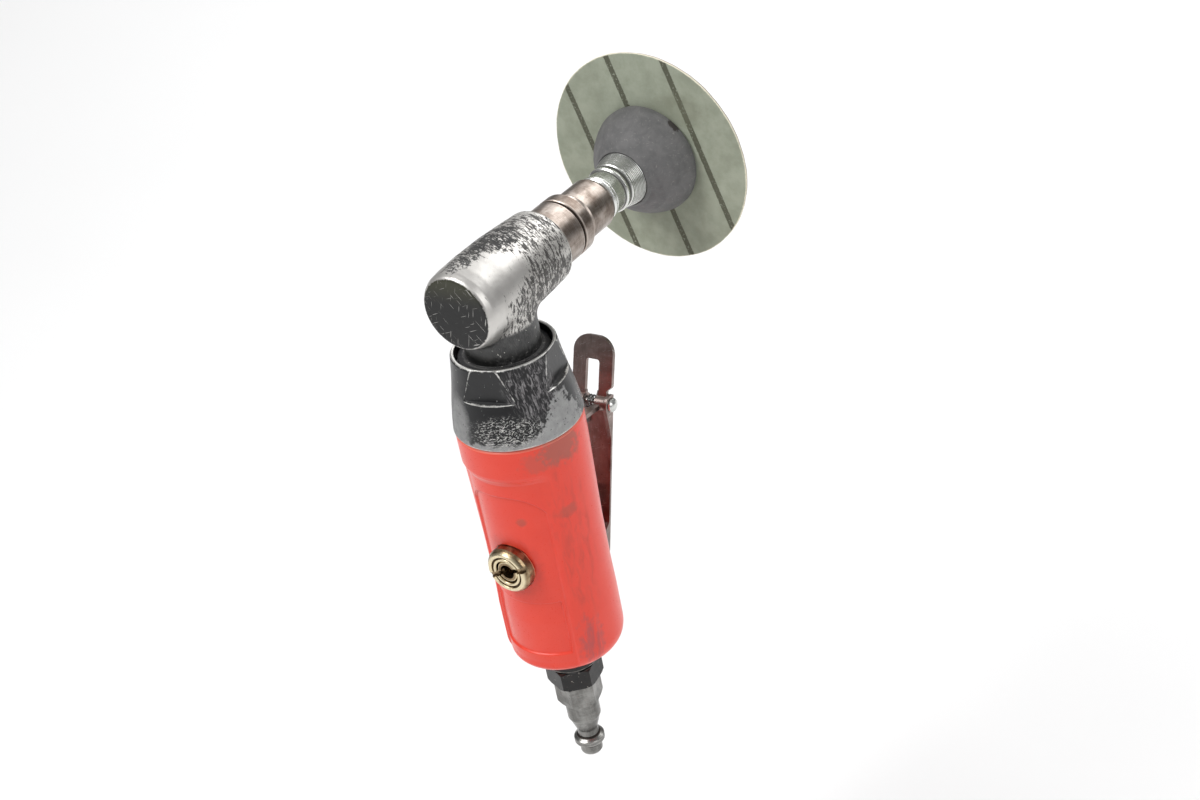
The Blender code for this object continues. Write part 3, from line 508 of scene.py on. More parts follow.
def grip_surface(degrees, heights):
    """Outer radius of the grip at these angles and heights."""
    base = np.interp(-heights,
                     [47.9, 48.4, 58.2, 59.4, 60.6, 61.8, 108, 118],
                     [20.6, 21.1, 21.05, 20.7, 19.95, 19.45, 19.35, 20])
    full = np.interp(-heights,
                     [47.9, 48.4, 58.2, 70, 90, 108, 118],
                     [20.6, 21.1, 21.05, 20.7, 20.15, 20.1, 20.3])
    off_plug = np.abs((degrees + 90 + 180) % 360 - 180)
    turned_away = ease(off_plug, 44, 60)
    radius = base + (full - base) * turned_away
    arch = -66.6 - 7.8 * (np.minimum(off_plug, 52) / 49) ** 3.2
    panel = (ease(arch - heights, -0.35, 0.45) * ease(47.5 - off_plug, -1.2, 1.2)
             * ease(heights, -137, -134))
    radius = radius - 0.75 * panel
    plate = (ease(43 - off_plug, -0.3, 0.3) * ease(-109.6 - heights, -0.3, 0.3)
             * ease(heights + 130.6, -0.3, 0.3))
    radius = radius - 0.7 * plate
    ridge = (np.exp(-((off_plug - 70) / 5) ** 2) * ease(-112 - heights, 0, 8)
             * ease(heights, -138.5, -134.5))
    radius = radius + 0.3 * ridge
    round_height, foot, power = 7.2, 14.5, 2.4
    rounding = np.clip((GRIP_BOTTOM + round_height - heights) / round_height, 0, 1)
    return foot + (radius - foot) * (1 - rounding ** power) ** (1 / power)


def build_grip():
    """Grip shell, with finer rings of vertices where its relief is."""
    fine_bands = ((60, 2.5), (69.5, 5.5), (109.6, 0.8), (130.6, 0.8))
    heights = [-47.9, -48, -48.15, -48.4]
    level = -48.8
    while level > GRIP_BOTTOM + 5.8:
        heights.append(level)
        fine = any(abs(level + spot) < reach for spot, reach in fine_bands)
        level -= 0.18 if fine else 0.55
    heights += [GRIP_BOTTOM + 5.7 * (1 - i / 24) ** 1.6 for i in range(25)]
    steps = 420
    degrees = np.arange(steps) * 360.0 / steps
    grid = np.array(heights)[:, None] * np.ones(steps)
    radii = grip_surface(degrees[None, :] * np.ones_like(grid), grid)
    wear_and_highlight = np.zeros_like(grid)
    # The top lip rows get edge value 1, which the red finish paints as a highlight along the lip.
    wear_and_highlight[:4] = 1.0
    inside = np.array([(12, GRIP_BOTTOM), (7.9, GRIP_BOTTOM), (7.6, GRIP_BOTTOM + 0.3), (7.6, -124),
                       (4.5, -124), (4.5, -83.4), (17.2, -83.4), (17.2, -48.1), (17.4, -47.9)])
    radii = np.vstack([radii, inside[:, :1] * np.ones(steps)])
    grid = np.vstack([grid, inside[:, 1:] * np.ones(steps)])
    wear_and_highlight = np.vstack([wear_and_highlight, np.zeros((len(inside), steps))])
    grip = sleeve("grip_shell", radii, grid, HANDLE, wear_and_highlight)
    slot_low, slot_high = LEVER_PIVOT[1] - 4.2, LEVER_PIVOT[1] + 10.0
    slot = box("slot", (17.2, 20, slot_high - slot_low),
               (0, LEVER_PIVOT[0] + 6.2, 0.5 * (slot_low + slot_high)), HANDLE)
    valve_hole = bore([(2.2, 40), (2.2, 14), (4.9, 14), (4.9, 11), (7, 11), (7, -17.5),
                       (8.6, -17.5), (8.6, -40)], VALVE, 72)
    pivot_place = HANDLE @ Matrix.Translation((0, *LEVER_PIVOT)) @ ALONG_X
    pivot_hole = drill(1.8, 30, -30, pivot_place, 32)
    cut(grip, valve_hole, slot, pivot_hole)
    ports = 13.0
    for side in (-1, 1):
        for turn in (-22, 22):
            across = side * ports * math.cos(math.radians(turn))
            out = ports * math.sin(math.radians(turn))
            place = HANDLE @ Matrix.Translation((across, out, 0))
            cut(grip, bore([(2.1, -80), (2.1, -138.8), (2.6, -139.6), (2.6, -150)], place, 32))
    finish_piece(grip, "handle", "red_plastic", "grip_housing", sharp=50)


build_grip()


# Regulator, inlet and plug

def build_regulator():
    slot_turn = turn_about("Z", -20)
    plug = lathe("regulator_plug_brass",
                 [(4.3, -11.8), (6.7, -11.8), (6.7, -17.8), (8.3, -17.8), (8.3, -20.8), (7.9, -21.7),
                  (7, -22.7), (6, -22.7), (5.8, -22), (5.4, -22), (5.2, -22.5), (4.5, -22.5),
                  (4.3, -22.3)], VALVE, 0.25, 128)
    cut(plug, box("slot", (22, 1.8, 3), (0, 0, -22.9), VALVE @ slot_turn))
    finish_piece(ease_edges(plug, 0.12, 50), "handle", "brass", "regulator_plug")
    spool = lathe("regulator_spool_brass",
                  [(0, -12), (4, -12), (4, -21.6), (3.6, -22), (0, -22)], VALVE, 0.2, 64)
    pocket = bore([(2.6, -15), (2.6, -30)], VALVE, 48, 0.1)
    cut(spool, box("slot", (10, 1.4, 3), (0, 0, -22), VALVE @ slot_turn), pocket)
    finish_piece(ease_edges(spool, 0.1, 50), "regulator_body", "brass", "regulator_spool")


build_regulator()


def chamfered_hex(name, corner_radius, turn, top, bottom, chamfer, radius_cut):
    """Hexagon with chamfered corners, between two heights on the handle's axis."""
    slope = 0.55 * chamfer + 0.2
    nut = lathe(name, [(0, top), (corner_radius - chamfer, top), (radius_cut, top - slope),
                       (radius_cut, bottom + slope), (corner_radius - chamfer, bottom), (0, bottom)],
                HANDLE, 0.05, 144)
    hexagon = arc((0, 0), corner_radius, turn, turn + 300, 5)
    limit = prism("limit", hexagon, bottom - 5, top + 5, HANDLE)
    return merge(nut, [limit], "INTERSECT")


def build_inlet():
    bushing = lathe("inlet_bushing_black",
                    [(7.3, -126.5), (7.3, -139.5), (9.2, -139.5), (9.6, -140), (9.6, -146.4),
                     (8.6, -147.8), (8.6, -152), (5.9, -152), (5.9, -146), (4.4, -145),
                     (4.4, -126.5)], HANDLE, 0.3, 128)
    nut = chamfered_hex("bushing_hex", 9.95, -81, -147.7, -155.2, 0.9, 9.95)
    cut(nut, drill(6, -146, -160, HANDLE, 96))
    finish_piece(ease_edges(join(bushing, nut), 0.22, 25), "handle", "black_oxide", "inlet_bushing")
    nipple = lathe("air_plug_steel",
                   [(5.6, -146.4), (5.6, -155.4), (5.9, -155.6), (5.9, -172.4), (5.4, -173.4),
                    (3.75, -178.4), (3.75, -181.2), (4.6, -181.7), (5.45, -182.3), (5.45, -184.1),
                    (4.6, -184.8), (3.95, -185.2), (3.95, -188.4), (3.5, -189.2), (2.6, -189.2),
                    (2.4, -188.9), (2.4, -146.4)], HANDLE, 0.3, 128)
    nut = chamfered_hex("plug_hex", 8.25, -73.5, -155.6, -164.6, 0.95, 8.3)
    cut(nut, drill(5.5, -140, -200, HANDLE, 96))
    plug = ease_edges(join(nipple, nut), 0.22, 25)
    finish_piece(plug, "handle", "zinc_steel", "air_plug", finish="plug_zinc")


build_inlet()


# Throttle lever, its lock and the valve stem

def rounded_rectangle(half, low, high, corner, count):
    """Outline from the lower right corner round to the lower left one."""
    across, bottom, top = half - corner, low + corner, high - corner
    spots = ((across, bottom, -90), (across, top, 0), (-across, top, 90), (-across, bottom, 180))
    return [point for x, y, start in spots for point in arc((x, y), corner, start, start + 90, count)]


def build_lever():
    """Sheet channel: its side outline, cut to the folded section, then opened at both ends."""
    edge = LEVER_WEB - 2.0
    side_line = arc((0, 0), 3, 180, 300, 24) + arc((LEVER_WEB - 3.6, 5), 3.6, -55, 0, 14)
    side_line += arc(TAB_HINGE, 3.6, 55.1, 200, 40)
    side_line += [(3.6, TAB_HINGE[1] - 5.5), (edge - 0.3, TAB_HINGE[1] - 10.9), (edge, TAB_HINGE[1] - 12)]
    side_line += [(edge, 13.4), (edge - 0.25, 12.7), (-2.6, 2.2)]
    lever = prism("throttle_lever_channel", side_line, -LEVER_HALF, LEVER_HALF, LEVER @ SIDEWAYS)
    inner = LEVER_HALF - SHEET
    bend, inner_bend = 1.6, 0.5
    across, out = LEVER_HALF - bend, LEVER_WEB - bend
    inner_across, inner_out = inner - inner_bend, LEVER_WEB - SHEET - inner_bend
    section = [(-LEVER_HALF, -9)] + arc((-across, out), bend, 180, 90, 10)
    section += arc((across, out), bend, 90, 0, 10) + [(LEVER_HALF, -9), (inner, -9)]
    section += arc((inner_across, inner_out), inner_bend, 0, 90, 6)
    section += arc((-inner_across, inner_out), inner_bend, 90, 180, 6) + [(-inner, -9)]
    merge(lever, [prism("channel", section, -20, 90, LEVER)], "INTERSECT")
    for low, high in ((-20, 5.2), (TAB_HINGE[1] - 3.1, 90)):
        middle = (0, LEVER_WEB, 0.5 * (low + high))
        cut(lever, box("web_end", (2 * inner, 12, high - low), middle, LEVER))
    for spot, radius in (((0, 0), 1.8), (TAB_HINGE, 1.5)):
        place = LEVER @ Matrix.Translation((0, *spot)) @ ALONG_X
        cut(lever, drill(radius, 12, -12, place, 48))
    finish_piece(ease_edges(lever, 0.2, 40), "lever_group", "lever_steel", "throttle_lever")


def build_tab():
    """Leaning plate with a window, its barrel round the pin and the foot on the lever."""
    lean = LOCK @ turn_about("X", -TAB_LEAN) @ turn_about("X", 90)
    hinge = LOCK @ ALONG_X
    corner, shoulder = 6.2, 1.6
    outline = [(-6, 0.5), (6, 0.5), (6, 4.4)]
    outline += arc((LEVER_HALF - shoulder, 6.8), shoulder, -70, 0, 6)
    outline += arc((LEVER_HALF - corner, TAB_HEIGHT - corner), corner, 0, 90, 16)
    outline += arc((corner - LEVER_HALF, TAB_HEIGHT - corner), corner, 90, 180, 16)
    outline += arc((shoulder - LEVER_HALF, 6.8), shoulder, 180, 250, 6) + [(-6, 4.4)]
    tab = prism("lock_tab_plate", outline, -0.5 * SHEET, 0.5 * SHEET, lean)
    foot = box("foot", (10, TAB_FOOT, SHEET), (0, -0.5 * TAB_FOOT, 0),
               LOCK @ turn_about("X", LEVER_TILT - FOOT_LIFT))
    barrel = lathe("barrel", [(0, 6.2), (2.7, 6.2), (2.7, -6.2), (0, -6.2)], hinge, 0.2, 64)
    join(tab, barrel, foot)
    window = prism("window", rounded_rectangle(2.7, 3, 14.8, 1, 6), -4, 4, lean)
    cut(tab, window, drill(6, 2.4, -2.4, hinge, 64), drill(1.5, 10, -10, hinge, 48))
    finish_piece(ease_edges(tab, 0.22, 40), "lock_tab_body", "lever_steel", "lock_tab")


def build_spring():
    """Lock spring: lower leg, coil round the pin and upper leg, in the lock's own axes."""
    leg, coil, turns, count = 1.7, 2.05, 2.75, 110
    path = curved([(-leg, -0.1, -7.6), (-leg, -0.9, -4.2), (-leg, -1.8, -1.2)], 12)[:-1]
    for i in range(count + 1):
        angle = math.pi + 2.0 * math.pi * turns * i / count
        along = -leg + 2.0 * leg * i / count
        path.append(np.array((along, coil * math.cos(angle), coil * math.sin(angle))))
    path += curved([(leg, 0.4, 2.4), (leg, 0.8, 3.1), (leg, 1, 3.8)], 8)
    finish_piece(tube("lock_spring_wire", path, 0.35, LOCK), "lever_group", "spring_steel", "lock_spring")


build_lever()
build_tab()
build_spring()
turned("lever_pin_rivet",
       [(0, 12.2), (1.2, 12.2), (1.6, 11.8), (1.6, -11.8), (1.2, -12.2), (0, -12.2)],
       LEVER @ ALONG_X, "handle", "zinc_steel", "lever_pin", 0.15, 64)
turned("lock_pin_rivet",
       [(0, 9.6), (0.9, 9.5), (1.7, 9.2), (2.3, 8.7), (2.6, 8.1), (1.3, 8.1), (1.3, -8.3), (2.1, -8.3),
        (2.1, -8.9), (1.6, -9.2), (0, -9.3)],
       LOCK @ ALONG_X, "lever_group", "zinc_steel", "lock_pin", 0.2, 64)
turned("valve_stem_pin",
       [(0, 28), (1.1, 28), (1.6, 27.4), (1.6, 3.6), (3.4, 3), (3.9, 2.4), (3.9, 0.2), (1.4, 0.2),
        (1.4, -3), (0, -3)],
       VALVE, "valve_stem_body", "zinc_steel", "valve_stem", 0.2, 48)


# Finishes

def tone(red, green, blue):
    """Linear colour from the usual 0 to 255 values."""
    parts = [c / 255 for c in (red, green, blue)]
    return tuple(c / 12.92 if c <= 0.04045 else ((c + 0.055) / 1.055) ** 2.4 for c in parts) + (1,)


class Finish:
    """One procedural material, in the rest position's metres, built from short node calls."""

    def __init__(self, name, **fixed):
        self.material = bpy.data.materials.new(name)
        self.material.use_nodes = True
        self.tree = self.material.node_tree
        self.shader = self.tree.nodes["Principled BSDF"]
        self.place = self.node("ShaderNodeTexCoord").outputs["Object"]
        for socket, value in fixed.items():
            self.wire(self.shader.inputs[socket.replace("_", " ")], value)

    def node(self, kind, **settings):
        node = self.tree.nodes.new(kind)
        for key, value in settings.items():
            setattr(node, key, value)
        return node

    def wire(self, socket, value):
        if isinstance(value, bpy.types.NodeSocket):
            self.tree.links.new(value, socket)
        else:
            socket.default_value = value

    def set(self, **sockets):
        for socket, value in sockets.items():
            self.wire(self.shader.inputs[socket.replace("_", " ")], value)

    def math(self, operation, *values):
        node = self.node("ShaderNodeMath", operation=operation)
        for socket, value in zip(node.inputs, values):
            self.wire(socket, value)
        return node.outputs[0]

    def add(self, *values):
        total = values[0]
        for value in values[1:]:
            total = self.math("ADD", total, value)
        return total

    def times(self, *values):
        total = values[0]
        for value in values[1:]:
            total = self.math("MULTIPLY", total, value)
        return total

    def less(self, first, second):
        return self.math("SUBTRACT", first, second)

    def most(self, *values):
        total = values[0]
        for value in values[1:]:
            total = self.math("MAXIMUM", total, value)
        return total

    def span(self, value, low, high, first=0, last=1):
        """Smooth step from first to last as value goes from low to high."""
        node = self.node("ShaderNodeMapRange", interpolation_type="SMOOTHSTEP")
        for socket, part in zip(node.inputs, (value, low, high, first, last)):
            self.wire(socket, part)
        return node.outputs[0]

    def axes(self, vector=None):
        return self.vector("ShaderNodeSeparateXYZ", vector or self.place).outputs

    def vector(self, kind, value, **settings):
        node = self.node(kind, **settings)
        self.wire(node.inputs[0], value)
        return node

    def stretch(self, x, y, z, turn=(0, 0, 0), vector=None):
        """Place turned by degrees, then scaled along each axis."""
        turned = self.node("ShaderNodeMapping", vector_type="POINT")
        self.wire(turned.inputs["Vector"], vector or self.place)
        turned.inputs["Rotation"].default_value = [math.radians(a) for a in turn]
        scaled = self.node("ShaderNodeVectorMath", operation="MULTIPLY")
        self.wire(scaled.inputs[0], turned.outputs[0])
        scaled.inputs[1].default_value = (x, y, z)
        return scaled.outputs[0]

    def noise(self, scale, detail=3, rough=0.5, bend=0, vector=None):
        node = self.node("ShaderNodeTexNoise")
        for key, value in (("Vector", vector or self.place), ("Scale", scale), ("Detail", detail),
                           ("Roughness", rough), ("Distortion", bend)):
            self.wire(node.inputs[key], value)
        return node.outputs[0]

    def cells(self, scale, feature="F1", vector=None, spread=1):
        node = self.node("ShaderNodeTexVoronoi", feature=feature)
        for key, value in (("Vector", vector or self.place), ("Scale", scale), ("Randomness", spread)):
            self.wire(node.inputs[key], value)
        return node.outputs[0]

    def blend(self, share, first, second):
        node = self.node("ShaderNodeMix", data_type="RGBA")
        for index, value in ((0, share), (6, first), (7, second)):
            self.wire(node.inputs[index], value)
        return node.outputs[2]

    def coats(self, colour, *coats):
        """Colour under further coats, each one (share, red, green, blue)."""
        for share, *rgb in coats:
            colour = self.blend(share, colour, tone(*rgb))
        return colour

    def mix(self, share, first, second):
        """Number between first and second by share."""
        return self.add(first, self.times(share, self.less(second, first)))

    def wear_and_highlight(self):
        """Edge value: 1 on edges that stand out, below 0 in grooves; worn edges on paint, oxide and brass,
        a painted highlight on turned metal and on the red grip's lip.
        """
        return self.node("ShaderNodeAttribute", attribute_name="edge").outputs["Fac"]

    def zone(self, centre, radii, ragged=0.5, scale=500, soft=0.35):
        """1 inside an ellipsoid with a ragged edge; centre in millimetres from the axes' crossing."""
        away = self.node("ShaderNodeVectorMath", operation="SUBTRACT")
        self.wire(away.inputs[0], self.place)
        away.inputs[1].default_value = (centre[0] * MM, (centre[1] - REACH) * MM, centre[2] * MM)
        scaled = self.node("ShaderNodeVectorMath", operation="DIVIDE")
        self.wire(scaled.inputs[0], away.outputs[0])
        scaled.inputs[1].default_value = [r * MM for r in radii]
        length = self.vector("ShaderNodeVectorMath", scaled.outputs[0], operation="LENGTH").outputs["Value"]
        rough = self.times(self.less(self.noise(scale, 4, 0.6), 0.5), 2 * ragged)
        return self.span(self.add(length, rough), 1 + soft, 1 - soft)

    def on_handle(self, angle, radius, height, wide, tall, **options):
        """Zone on the handle's surface: angle in degrees from +X, sizes in millimetres."""
        turn = math.radians(angle)
        centre = (radius * math.cos(turn), radius * math.sin(turn), height)
        return self.zone(centre, (wide, wide, tall), **options)

    def off_spindle(self):
        """Distance from the spindle axis in millimetres."""
        x, _, z = self.axes()
        return self.times(self.math("SQRT", self.add(self.times(x, x), self.times(z, z))), 1 / MM)

    def round_handle(self):
        """(angle in degrees, distance from the axis, height) about the handle, in millimetres."""
        x, y, z = self.axes()
        across = self.math("ADD", y, REACH * MM)
        angle = self.times(self.math("ARCTAN2", across, x), 180 / math.pi)
        far = self.math("SQRT", self.add(self.times(x, x), self.times(across, across)))
        return angle, self.times(far, 1 / MM), self.times(z, 1 / MM)

    def bump(self, height, depth, normal=None):
        """Bump of this depth in millimetres, on top of another bump if given."""
        node = self.node("ShaderNodeBump")
        node.inputs["Distance"].default_value = depth * MM
        self.wire(node.inputs["Height"], height)
        if normal is not None:
            self.wire(node.inputs["Normal"], normal)
        return node.outputs[0]

    def scratches(self, turns, length, thin, level=0.7, axis="Y"):
        """Thin dashes that run in several directions in the plane across the X or Y axis."""
        total = None
        for turn in turns:
            if axis == "X":
                vector = self.stretch(1 / length, 1 / thin, 1 / length, (turn, 0, 0))
            else:
                vector = self.stretch(1 / length, 1 / length, 1 / thin, (0, turn, 0))
            dash = self.span(self.noise(1000, 1, 0.5, 0.2, vector), level, level + 0.06)
            total = dash if total is None else self.most(total, dash)
        return total


def worn_alloy(name):
    f = Finish(name)
    _, y, z = f.axes()
    along = f.times(f.add(y, REACH * MM), 1 / MM)
    height = f.times(z, 1 / MM)
    _, out, _ = f.round_handle()
    fleck_place = f.stretch(0.3, 1.05, 0.3, (0, 0, 12))
    fleck = f.noise(1000, 4, 0.62, 0.9, fleck_place)
    fine = f.noise(1000, 3, 0.6, 0.6, f.stretch(0.9, 2.2, 0.9, (0, 0, -14)))
    dense = f.zone((13, 10, -4), (16, 19, 11), 0.35, 300)
    speckled = f.zone((7, 15, 9), (15, 15, 14), 0.3, 300)
    low = f.span(height, 4, -8)
    upper = f.zone((-2, 8, 12), (13, 19, 7), 0.4, 300)
    share = f.most(f.times(dense, 1.2), speckled, f.times(low, 0.9), f.times(upper, 1.1), 0.35)
    clean = f.most(f.span(along, -9.5, -13.5), f.zone((9.5, -5, 10), (7, 11, 7), 0.3, 300))
    share = f.times(share, f.less(1, f.times(clean, 0.75)))
    threshold = f.less(0.7, f.times(share, 0.2))
    flecks = f.span(fleck, threshold, f.add(threshold, 0.05))
    small = f.span(fine, f.add(threshold, 0.03), f.add(threshold, 0.08))
    flecks = f.most(flecks, f.times(small, 0.8))
    patch = f.most(f.zone((0.5, 6, 13.6), (6.5, 8.5, 4.5), 0.8, 420, 0.1),
                   f.times(f.zone((-1.5, -7, 13.6), (4.2, 9.5, 4), 0.9, 500, 0.15), 0.95))
    torn = f.noise(1000, 4, 0.65, 0.8, f.stretch(0.55, 0.9, 0.55, (0, 0, 20)))
    patch = f.times(patch, f.span(fine, 0.64, 0.57), f.span(torn, 0.56, 0.5))
    under = f.times(f.zone((4, 12, -13), (9, 13, 4.5), 0.4, 400), f.span(fine, 0.64, 0.56))
    rear_disc = f.span(f.add(f.noise(900), f.off_spindle()), 12.75, 12.35)
    rear = f.times(f.span(along, -17.55, -17.8), rear_disc)
    nicks = f.scratches((20, 75, 130), 6.5, 0.32, 0.7)
    rear_dark = f.times(rear, f.less(1, f.times(nicks, 0.85)))
    neck = f.times(f.span(out, 13.5, 12.7), f.span(height, -10.6, -12.4))
    neck_nicks = f.times(neck, f.span(f.noise(1000, 2, 0.5, 0.4, f.stretch(1.3, 1.3, 0.8)), 0.68, 0.72))
    mouth = f.span(height, -21.5, -22)
    silver = f.blend(f.noise(160, 4, 0.6), tone(188, 185, 181), tone(232, 230, 226))
    colour = f.blend(f.times(flecks, 0.93), silver, tone(50, 47, 45))
    colour = f.coats(
        colour,
        (patch, 46, 46, 46),
        (f.times(under, 0.9), 62, 60, 58))
    colour = f.blend(neck, colour, f.blend(f.noise(300, 4), tone(62, 62, 63), tone(104, 104, 103)))
    colour = f.coats(
        colour,
        (mouth, 40, 40, 42),
        (neck_nicks, 225, 222, 216))
    olive = f.blend(f.span(height, 2, 11), tone(34, 34, 34), tone(62, 62, 48))
    colour = f.blend(rear_dark, colour, olive)
    dark = f.most(flecks, patch, rear_dark, f.times(under, 0.8), mouth)
    grain = f.noise(2600, 3, 0.6)
    f.set(Base_Color=colour, Metallic=f.mix(dark, 0.92, 0.25),
          Roughness=f.add(f.mix(dark, 0.34, 0.42), f.times(grain, 0.14)),
          Normal=f.bump(f.add(f.times(flecks, -0.5), f.times(patch, 0.4), f.times(grain, 0.2),
                              f.times(f.noise(500, 3), 0.8)), 0.09))
    return f.material


def black_paint(name):
    f = Finish(name)
    angle, _, height = f.round_handle()
    edge = f.wear_and_highlight()
    ragged = f.less(f.noise(420, 5, 0.65), 0.5)
    small = f.noise(1000, 3, 0.6, 0.7, f.stretch(0.9, 0.9, 0.6))
    down = f.less(-34, height)
    left = f.add(angle, 6, f.times(down, 3.3), f.times(ragged, 60))
    right = f.add(f.less(f.add(2, f.times(down, 1.45)), angle), f.times(ragged, 50))
    below = f.span(f.add(down, f.times(ragged, 6)), -0.8, 0.8)
    wedge = f.times(f.span(left, -3, 3), f.span(right, -3, 3), below)
    band = f.times(f.span(f.add(height, f.times(ragged, 9)), -44.2, -46.2), f.span(angle, 30, 10))
    left_band = f.times(f.on_handle(-116, 20.5, -41, 5.5, 9, ragged=0.35), 0.8)
    back = f.times(f.zone((-14, 16, -42), (13, 11, 7), 0.7, 300), 0.9)
    bare = f.most(wedge, band, left_band, back)
    streaks = f.noise(1000, 4, 0.65, 0.9, f.stretch(1.2, 1.2, 0.32, (0, 14, 0)))
    scuffed = f.on_handle(-27, 18.5, -29, 8.5, 10.5, ragged=0.4)
    scuffed = f.most(scuffed, f.times(f.on_handle(150, 18.5, -31, 8, 9, ragged=0.5), 0.8))
    scuff = f.times(scuffed, f.span(streaks, 0.44, 0.62))
    flecked = f.most(f.on_handle(-62, 20.5, -41.5, 11, 5, ragged=0.4),
                     f.on_handle(60, 20.5, -41, 12, 4.5))
    dashes = f.times(flecked, f.scratches((35, 120), 1.1, 0.22, 0.6, "X"))
    specks = f.span(small, 0.68, 0.72)
    keep = f.span(f.noise(1500, 3, 0.6), 0.30, 0.36)
    edge_mark = f.times(f.span(f.add(edge, f.times(ragged, 1.1)), 0.62, 0.9), f.span(edge, 0.4, 0.7))
    grey = f.blend(f.noise(500, 4), tone(140, 140, 140), tone(192, 192, 191))
    black = f.blend(f.noise(260, 4), tone(12, 12, 14), tone(30, 30, 32))
    purple = f.blend(f.span(streaks, 0.35, 0.7), tone(70, 68, 72), tone(158, 155, 156))
    metal = f.most(f.times(bare, keep), edge_mark, f.times(scuff, 0.85), dashes, f.times(specks, 0.7))
    colour = f.blend(f.times(scuff, 0.9), black, purple)
    colour = f.blend(f.most(f.times(bare, keep), f.times(specks, 0.75)), colour, grey)
    colour = f.blend(f.most(edge_mark, dashes), colour, tone(222, 221, 217))
    f.set(Base_Color=colour, Metallic=f.times(metal, 0.8),
          Roughness=f.add(f.mix(bare, 0.26, 0.5), f.times(small, 0.14), f.times(scuff, 0.08)),
          Normal=f.bump(f.add(f.times(metal, -0.7), f.times(f.noise(800, 4), 0.8)), 0.05))
    return f.material


def red_plastic(name):
    f = Finish(name)
    streaky = f.noise(1000, 4, 0.6, 0.5, f.stretch(0.5, 0.5, 0.13))
    colour = f.blend(f.noise(90, 4, 0.6), tone(238, 64, 46), tone(246, 78, 58))
    smudge = f.most(f.times(f.on_handle(-18, 21, -51.5, 8, 5, ragged=0.9, scale=420), 0.9),
                    f.times(f.on_handle(-40, 21, -53.5, 5.5, 3.6, ragged=0.9, scale=420), 0.4),
                    f.times(f.on_handle(120, 20.5, -54, 8, 5, ragged=0.6), 0.6))
    stain = f.times(f.on_handle(-25, 20, -129, 4.2, 10, ragged=0.9, scale=320),
                    f.span(streaky, 0.3, 0.6))
    grimy = f.times(f.on_handle(-20, 20, -88, 7.5, 30, ragged=0.5, scale=180),
                    f.span(streaky, 0.4, 0.75))
    spot = f.times(f.on_handle(-69, 19.4, -76.5, 1.8, 1.6, ragged=0.5), 0.5)
    band = f.times(f.on_handle(-22, 19.6, -75, 3.5, 2.2, ragged=0.6), 0.4)
    colour = f.coats(
        colour,
        (f.times(grimy, 0.34), 176, 70, 62),
        (f.times(smudge, 0.72), 150, 104, 92),
        (f.times(stain, 0.55), 158, 88, 92),
        (f.most(spot, band), 160, 84, 70))
    # Painted shade: the red is darkened in a ring round the regulator plug.
    plug_shade = f.times(f.zone((0, -19, VALVE_HEIGHT), (11.5, 6, 11.5), 0.3, 400, 0.2), 0.25)
    colour = f.blend(plug_shade, colour, tone(170, 52, 44))
    # Painted highlight along the top lip: the red is lightened towards pale pink.
    edge = f.span(f.add(f.wear_and_highlight(), f.times(streaky, 0.3)), 0.55, 1.1)
    colour = f.blend(f.times(edge, 0.5), colour, tone(255, 150, 130))
    grain = f.noise(2200, 3, 0.55)
    dull = f.times(f.most(smudge, stain, grimy), 0.22)
    f.set(Base_Color=colour, Roughness=f.add(0.24, dull, f.times(grain, 0.1)),
          Normal=f.bump(f.add(f.times(grain, 0.25), f.noise(140, 2)), 0.05),
          Specular_IOR_Level=0.45, Subsurface_Weight=0.06, Subsurface_Scale=0.002)
    return f.material


def turned_metal(name, light, dark, roughness, axis="Y", groove=tone(40, 32, 28), patch=120):
    """Lathe-turned metal: fine rings across the axis, patchy tone, dark grooves and a painted highlight on
    its edges.
    """
    f = Finish(name, Metallic=1)
    scale = {"Y": (0.15, 9, 0.15), "Z": (0.15, 0.15, 9), "X": (9, 0.15, 0.15)}[axis]
    lines = f.noise(1000, 3, 0.7, 0, f.stretch(*scale))
    slow = f.noise(patch, 4, 0.6)
    streak = f.noise(1000, 3, 0.6, 0.4, f.stretch(*[0.4 if s < 1 else 0.09 for s in scale]))
    share = f.span(f.add(f.times(slow, 0.5), f.times(streak, 0.3), f.times(lines, 0.3)), 0.38, 0.7)
    colour = f.blend(share, light, dark)
    edge = f.wear_and_highlight()
    hollow = f.span(f.add(edge, f.times(f.less(slow, 0.5), 0.4)), -0.15, -0.75)
    colour = f.blend(f.times(hollow, 0.9), colour, groove)
    # Painted highlight: edges are lightened to a brighter copy of the metal's own colour.
    edge_highlight_tone = tuple(min(1, 1.25 * c) for c in light[:3]) + (1,)
    colour = f.blend(f.times(f.span(edge, 0.3, 0.9), 0.7), colour, edge_highlight_tone)
    f.set(Base_Color=colour,
          Roughness=f.add(roughness, f.times(lines, 0.1), f.times(hollow, 0.3), f.times(share, 0.06)),
          Normal=f.bump(f.add(lines, f.times(slow, 0.5)), 0.01))
    return f.material


def lever_steel(name):
    f = Finish(name, Metallic=1)
    brushed = f.noise(1000, 3, 0.6, 0, f.stretch(2.6, 2.6, 0.07, (LEVER_TILT, 0, 0)))
    slow = f.noise(110, 4, 0.6, 0.6)
    scuffs = f.scratches((25, 100), 2.2, 0.14, 0.69)
    brown = f.blend(f.span(slow, 0.3, 0.7), tone(158, 142, 137), tone(112, 96, 91))
    colour = f.blend(f.times(brushed, 0.35), brown, tone(180, 170, 165))
    colour = f.blend(f.times(scuffs, 0.6), colour, tone(214, 210, 205))
    spots = f.span(f.noise(700, 3, 0.6), 0.68, 0.74)
    colour = f.blend(f.times(spots, 0.6), colour, tone(84, 66, 56))
    rough = f.add(0.24, f.times(brushed, 0.14), f.times(slow, 0.1), f.times(spots, 0.2))
    f.set(Base_Color=colour, Roughness=rough,
          Normal=f.bump(f.add(brushed, f.times(slow, 2), f.times(scuffs, -0.6)), 0.012))
    return f.material


